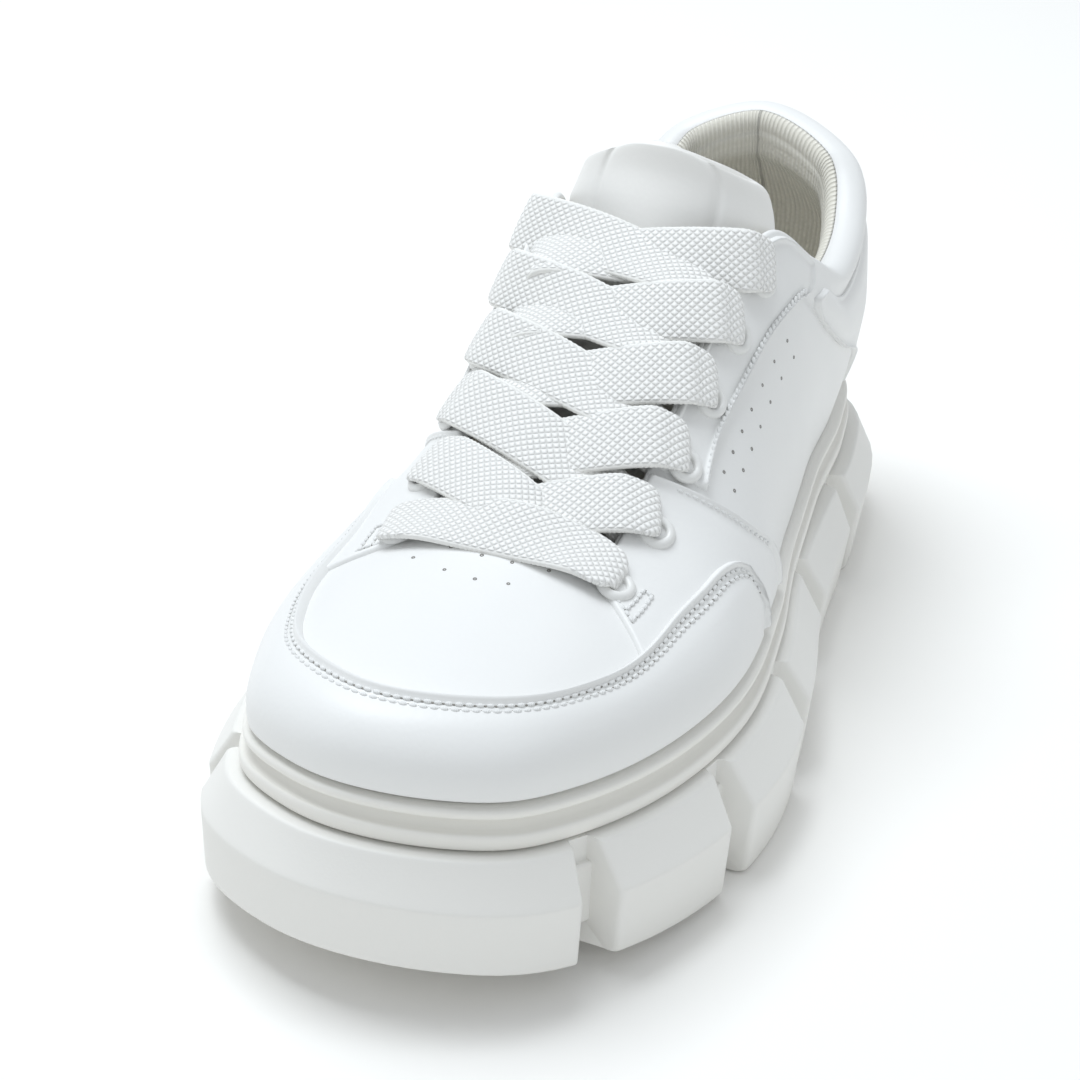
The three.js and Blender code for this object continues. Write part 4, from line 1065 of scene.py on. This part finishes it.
# the colour follows the weave relief of the bump: painted shade darkens the grooves of the weft
bed.surface(
    Base_Color=bed.blend(weft, (0.70, 0.68, 0.61), (0.78, 0.76, 0.70)), Roughness=0.9, Sheen_Weight=0.2,
    Normal=bed.bump(weft, 0.0003, 0.6),
)
insole = build_mesh("insole_bed", points, faces, [bed.material], sharp=50)
turn_outward(insole)
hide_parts("insole")
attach(insole, "root")

# Eyelets: plain white lacquered rings, six on each side of the throat. Each is pressed into
# its stay and has a short tube that goes through it.
eyelet_inset, ring_sides = 7.5, 40
eyelet_alongs = np.linspace(0.302, 0.592, 6)
stay_places = np.linspace(0.2, 0.7, 2000)
eyelet_places = np.interp(eyelet_alongs, table_curve(opening, 1, stay_places), stay_places)


def eyelet_spot(side):
    """Place, height and directions of the six eyelets on one side."""
    place = side * eyelet_places
    edge, _, base, _, _, head = opening_at(place)
    up = 1 - eyelet_inset / (3 * head * np.linalg.norm(edge - base, axis=-1))
    along, rise, facing = skin_frame(place, up)
    return place, up, along, rise, facing


ring_profile = [
    (2.2, -3.0), (2.2, 0.4), (2.32, 0.85), (2.7, 1.15), (3.2, 1.2), (3.75, 1.0), (4.2, 0.55), (4.4, 0.0),
    (4.3, -0.3), (2.9, -0.4), (2.7, -3.0),
]
angles = np.arange(ring_sides) * 2 * math.pi / ring_sides
ring_points = [(r * math.cos(a) / 1000, r * math.sin(a) / 1000, z / 1000) for r, z in ring_profile for a in angles]
ring_faces = grid_faces(len(ring_profile), ring_sides, wrap=True) + closing_faces(len(ring_profile), ring_sides)
ring_mesh = bpy.data.meshes.new("eyelet_shape")
ring_mesh.from_pydata(ring_points, [], [face[::-1] for face in ring_faces])
ring_shape = bpy.data.objects.new("eyelet_shape", ring_mesh)

lacquer = Finish("eyelet_lacquer")
lacquer.surface(
    Base_Color=lacquer.blend(lacquer.noise(90.0), (0.83, 0.83, 0.81), (0.79, 0.79, 0.77)),
    Roughness=lacquer.noise(200.0) * 0.1 + 0.25, Normal=lacquer.bump(lacquer.noise(700.0), 0.00003, 0.5),
)
for name, side in (("outer", 1), ("inner", -1)):
    place, up, along, rise, facing = eyelet_spot(side)
    spots = skin_offset(place, up, np.full(6, overlay + 0.05))
    rings = set_pieces(f"eyelet_rings_{name}", ring_shape, spots, facing, along, lacquer.material)
    turn_outward(rings)
    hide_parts(*[f"eyelet_{name}_{i + 1}" for i in range(6)])

# Laces: one very wide flat woven lace. The lowest bar lies on top; each crossing comes
# out from under a stay, crosses, and goes over the other stay down into the next eyelet.
lace_width, lace_thickness, lace_lift, lace_behind = 15.0, 2.0, 2.5, 5.0
bar_behind, bar_height, bar_overlap, bar_reach = 1.6, 2.4, 3.6, 3.4
outer_reach, inner_reach, crossing_lift, crossing_step = -0.8, 1.8, 1.7, 2.2
strip_steps, strip_sides, strip_square, strip_cup = 120, 40, 0.45, 0.2


def throat_stop(side, index):
    """One eyelet's hole, with the directions out of the stay and towards the heel there."""
    place, up, along, _, facing = (v[index] for v in eyelet_spot(side))
    edge_facing = skin_frame(place, 1.0)[2]
    return {
        "facing": facing, "edge_facing": edge_facing, "heelward": along * side, "hole": skin_point(place, up),
    }


def flat_run(stop, origin):
    """Direction of a straight run from origin to a stop, laid flat on the stay there."""
    run = stop["hole"] - origin
    run -= stop["facing"] * (run @ stop["facing"])
    return run / np.linalg.norm(run)


def over_end(stop, origin, heelward, reach):
    """Flat over the throat's edge and the eyelet's ring, round a fold and down the bore."""
    out, facing, hole = flat_run(stop, origin), stop["facing"], stop["hole"]
    behind = stop["heelward"] * heelward
    return [
        hole + out * (reach - 10.0) + facing * (lace_lift + 0.6) + behind,
        hole + out * (reach - 6.0) + facing * (lace_lift + 0.9) + behind * 0.95,
        hole + out * (reach - 3.2) + facing * (lace_lift + 0.9) + behind * 0.85,
        hole + out * (reach - 0.9) + facing * (lace_lift + 0.1) + behind * 0.7,
        hole + out * (reach * 0.6 - 0.5) + facing * (lace_lift - 1.5) + behind * 0.3,
        hole - facing * 0.4,
        hole - facing * 3.0,
    ]


def under_end(stop, target):
    """Out from below the stay at the throat's edge."""
    out = flat_run(stop, target)
    return [
        stop["hole"] - stop["facing"] * 3.4,
        stop["hole"] - out * 5.0 - stop["facing"] * 3.2,
        stop["hole"] - out * 12.0 - stop["facing"] * 1.2,
    ]


def lace_strip(path, acrosses, start_widths, end_widths, seed):
    """Cross-sections along a path, one width direction for each of its points. The widths are
    (millimetres from that end, share of the full width) pairs."""
    t = np.linspace(0, 1, 500)
    length = run_lengths(smooth_path(path, t))
    marks = np.linspace(0, length[-1], strip_steps)
    t = np.interp(marks, length, t)
    centre = smooth_path(path, t)
    tangent = np.gradient(centre, axis=0)
    tangent /= np.linalg.norm(tangent, axis=1, keepdims=True)
    cross = smooth_path(np.asarray(acrosses), t)
    cross /= np.linalg.norm(cross, axis=1, keepdims=True)
    facing = np.cross(tangent, cross)
    facing /= np.linalg.norm(facing, axis=1, keepdims=True)
    from_start, from_end = np.interp(marks, *zip(*start_widths)), np.interp(length[-1] - marks, *zip(*end_widths))
    wide = np.minimum(from_start, from_end) * lace_width / 2
    kernel = np.hanning(5)
    wide = np.convolve(np.pad(wide, 2, mode="edge"), kernel / kernel.sum(), mode="valid")
    turn = np.linspace(0, 2 * math.pi, strip_sides, endpoint=False)
    flat = np.sign(np.cos(turn)) * np.abs(np.cos(turn)) ** strip_square
    high = np.sign(np.sin(turn)) * np.abs(np.sin(turn)) ** strip_square
    ripple = 1 + 0.012 * np.sin(marks * 5.2 + seed)[:, None]
    across = wide[:, None] * flat[None, :] * ripple
    depth = lace_thickness / 2 * high[None, :] - strip_cup * flat[None, :] ** 2
    ring = centre[:, None] + cross[:, None] * across[..., None] + facing[:, None] * depth[..., None]
    uv = np.stack([np.broadcast_to(marks[:, None], across.shape), across], -1)
    return ring, uv


over_widths = [(0, 0.26), (4.2, 0.27), (5.6, 0.42), (6.6, 0.66), (7.8, 0.80), (10, 0.88), (16, 1.0)]
under_widths = [(0, 0.4), (5, 0.9), (9, 1.0)]
outer_stop, inner_stop = throat_stop(1, 0), throat_stop(-1, 0)
middle = skin_offset(0.0, 1.0, bar_height) + (0, bar_overlap, 0)
outer_end = over_end(outer_stop, middle, bar_behind, 0.0)[::-1]
inner_end = over_end(inner_stop, middle, bar_behind, bar_reach)
outer_across = np.cross(outer_stop["facing"], flat_run(outer_stop, middle))
inner_across = -np.cross(inner_stop["facing"], flat_run(inner_stop, middle))
across = [outer_across] * len(outer_end) + [np.array([0, 1.0, 0.5])] + [inner_across] * len(inner_end)
strips = [lace_strip(outer_end + [middle] + inner_end, across, over_widths, over_widths, 0.0)]
for index in range(5):
    for side, raised, reach in ((-1, 0.0, outer_reach), (1, crossing_step, inner_reach)):
        first, second = throat_stop(side, index), throat_stop(-side, index + 1)
        facing = first["edge_facing"] + second["edge_facing"]
        facing /= np.linalg.norm(facing)
        start, end = under_end(first, second["hole"]), over_end(second, first["hole"], lace_behind, reach)
        middle = (start[-1] + end[0]) / 2 + facing * (crossing_lift + raised)
        run = end[0] - start[-1]
        across = (
            [np.cross(-first["facing"], flat_run(first, second["hole"]))] * len(start)
            + [np.cross(facing, run / np.linalg.norm(run))]
            + [np.cross(second["facing"], flat_run(second, first["hole"]))] * len(end))
        strips.append(lace_strip(start + [middle] + end, across, under_widths, over_widths, index * 1.7 + side))

points, faces, uv, start = [], [], [], 0
for ring, spread in strips:
    rows, columns = ring.shape[:2]
    points.append(ring.reshape(-1, 3))
    uv.append(spread.reshape(-1, 2))
    faces += grid_faces(rows, columns, wrap=True, start=start) + end_faces(rows, columns, start)
    start += rows * columns

weave = Finish("lace_weave")
run = weave.node("SeparateXYZ", {"Vector": weave.node("UVMap", uv_map="weave")}, output="X")
cross = Field(weave.tree, run.socket.node.outputs["Y"])
knot_length, knot_width, plain_start, plain_end = 2.0, 1.9, 6.7, 7.1
forth, back = run * (math.pi / knot_length), cross * (math.pi / knot_width)
inner = weave.node("MapRange", {"Value": abs(cross), 1: plain_start, 2: plain_end, 3: 1.0, 4: 0.0}, clamp=True)
knots = abs((forth + back).math("SINE") * (forth - back).math("SINE")) ** 0.6 * inner
fibre = weave.noise(1800.0, 2.0)
# the colour follows the knot relief of the bump: painted shade darkens the hollows between knots and the plain
# band along the lace's sides
weave.surface(
    Base_Color=weave.blend(knots, (0.885, 0.88, 0.85), (0.955, 0.95, 0.93)), Roughness=0.8, Sheen_Weight=0.25,
    Sheen_Roughness=0.4, Normal=weave.bump(knots + fibre * 0.2, 0.0006, 0.75),
)
laces = build_mesh(
    "woven_laces", np.concatenate(points), faces, [weave.material], uv=np.concatenate(uv), uv_name="weave")
turn_outward(laces)
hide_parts("laces")
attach(laces, "root")

# Studio: a pale seamless floor, a broad light overhead and a soft fill from the front. The
# camera looks down on the toe from the outer side, and its shift centres the shoe.
floor_mesh = bpy.data.meshes.new("studio_floor")
floor_mesh.from_pydata([(-4, -4, 0), (4, -4, 0), (4, 4, 0), (-4, 4, 0)], [], [(0, 1, 2, 3)])
floor = bpy.data.objects.new("studio_floor", floor_mesh)
bpy.context.scene.collection.objects.link(floor)
paper = Finish("studio_paper")
paper.surface(Base_Color=paper.blend(paper.noise(3.0), (0.95, 0.935, 0.90), (0.95, 0.935, 0.905)), Roughness=0.9)
floor_mesh.materials.append(paper.material)

world = bpy.data.worlds.new("studio_air")
bpy.context.scene.world = world
world.use_nodes = True
air = world.node_tree.nodes["Background"].inputs
air["Color"].default_value = (0.92, 0.96, 1.0, 1)
air["Strength"].default_value = 0.62
bpy.context.scene.view_settings.view_transform = "Standard"

for name, place, aim, size, power in (
    ("overhead", (-0.45, 0.15, 1.40), (0, 0, 0.05), 0.8, 14.0),
    ("front_fill", (0.9, -1.2, 0.7), (0, 0, 0.05), 1.2, 0.8),
):
    lamp = bpy.data.lights.new(name, "AREA")
    lamp.shape, lamp.size, lamp.energy, lamp.color = "SQUARE", size, power, (0.90, 0.95, 1.0)
    light = bpy.data.objects.new(name, lamp)
    light.location = place
    light.rotation_euler = (Vector(aim) - Vector(place)).to_track_quat("-Z", "Y").to_euler()
    bpy.context.scene.collection.objects.link(light)

zoom, frame_size, frame_shift = 1.25, 1080, (189, -37)
camera_data = bpy.data.cameras.new("camera")
camera_data.lens = 63.1 * zoom
camera = bpy.data.objects.new("camera", camera_data)
bpy.context.scene.collection.objects.link(camera)
turn, tilt, roll = math.radians(28.08), math.radians(28.78), math.radians(-0.795)
right = np.array([math.cos(turn), math.sin(turn), 0])
back = np.array([math.sin(turn) * math.cos(tilt), -math.cos(turn) * math.cos(tilt), math.sin(tilt)])
above = np.cross(back, right)
rolled_right = right * math.cos(roll) + above * math.sin(roll)
rolled_above = -right * math.sin(roll) + above * math.cos(roll)
position = np.array([169.79 + centre_shift, -472.72, 325.17]) / 1000
matrix = np.eye(4)
matrix[:3, 0], matrix[:3, 1], matrix[:3, 2], matrix[:3, 3] = rolled_right, rolled_above, back, position
camera.matrix_world = Matrix(matrix.tolist())
camera_data.shift_x, camera_data.shift_y = (shift * zoom / frame_size for shift in frame_shift)
camera_data.clip_start = 0.02
bpy.context.scene.camera = camera
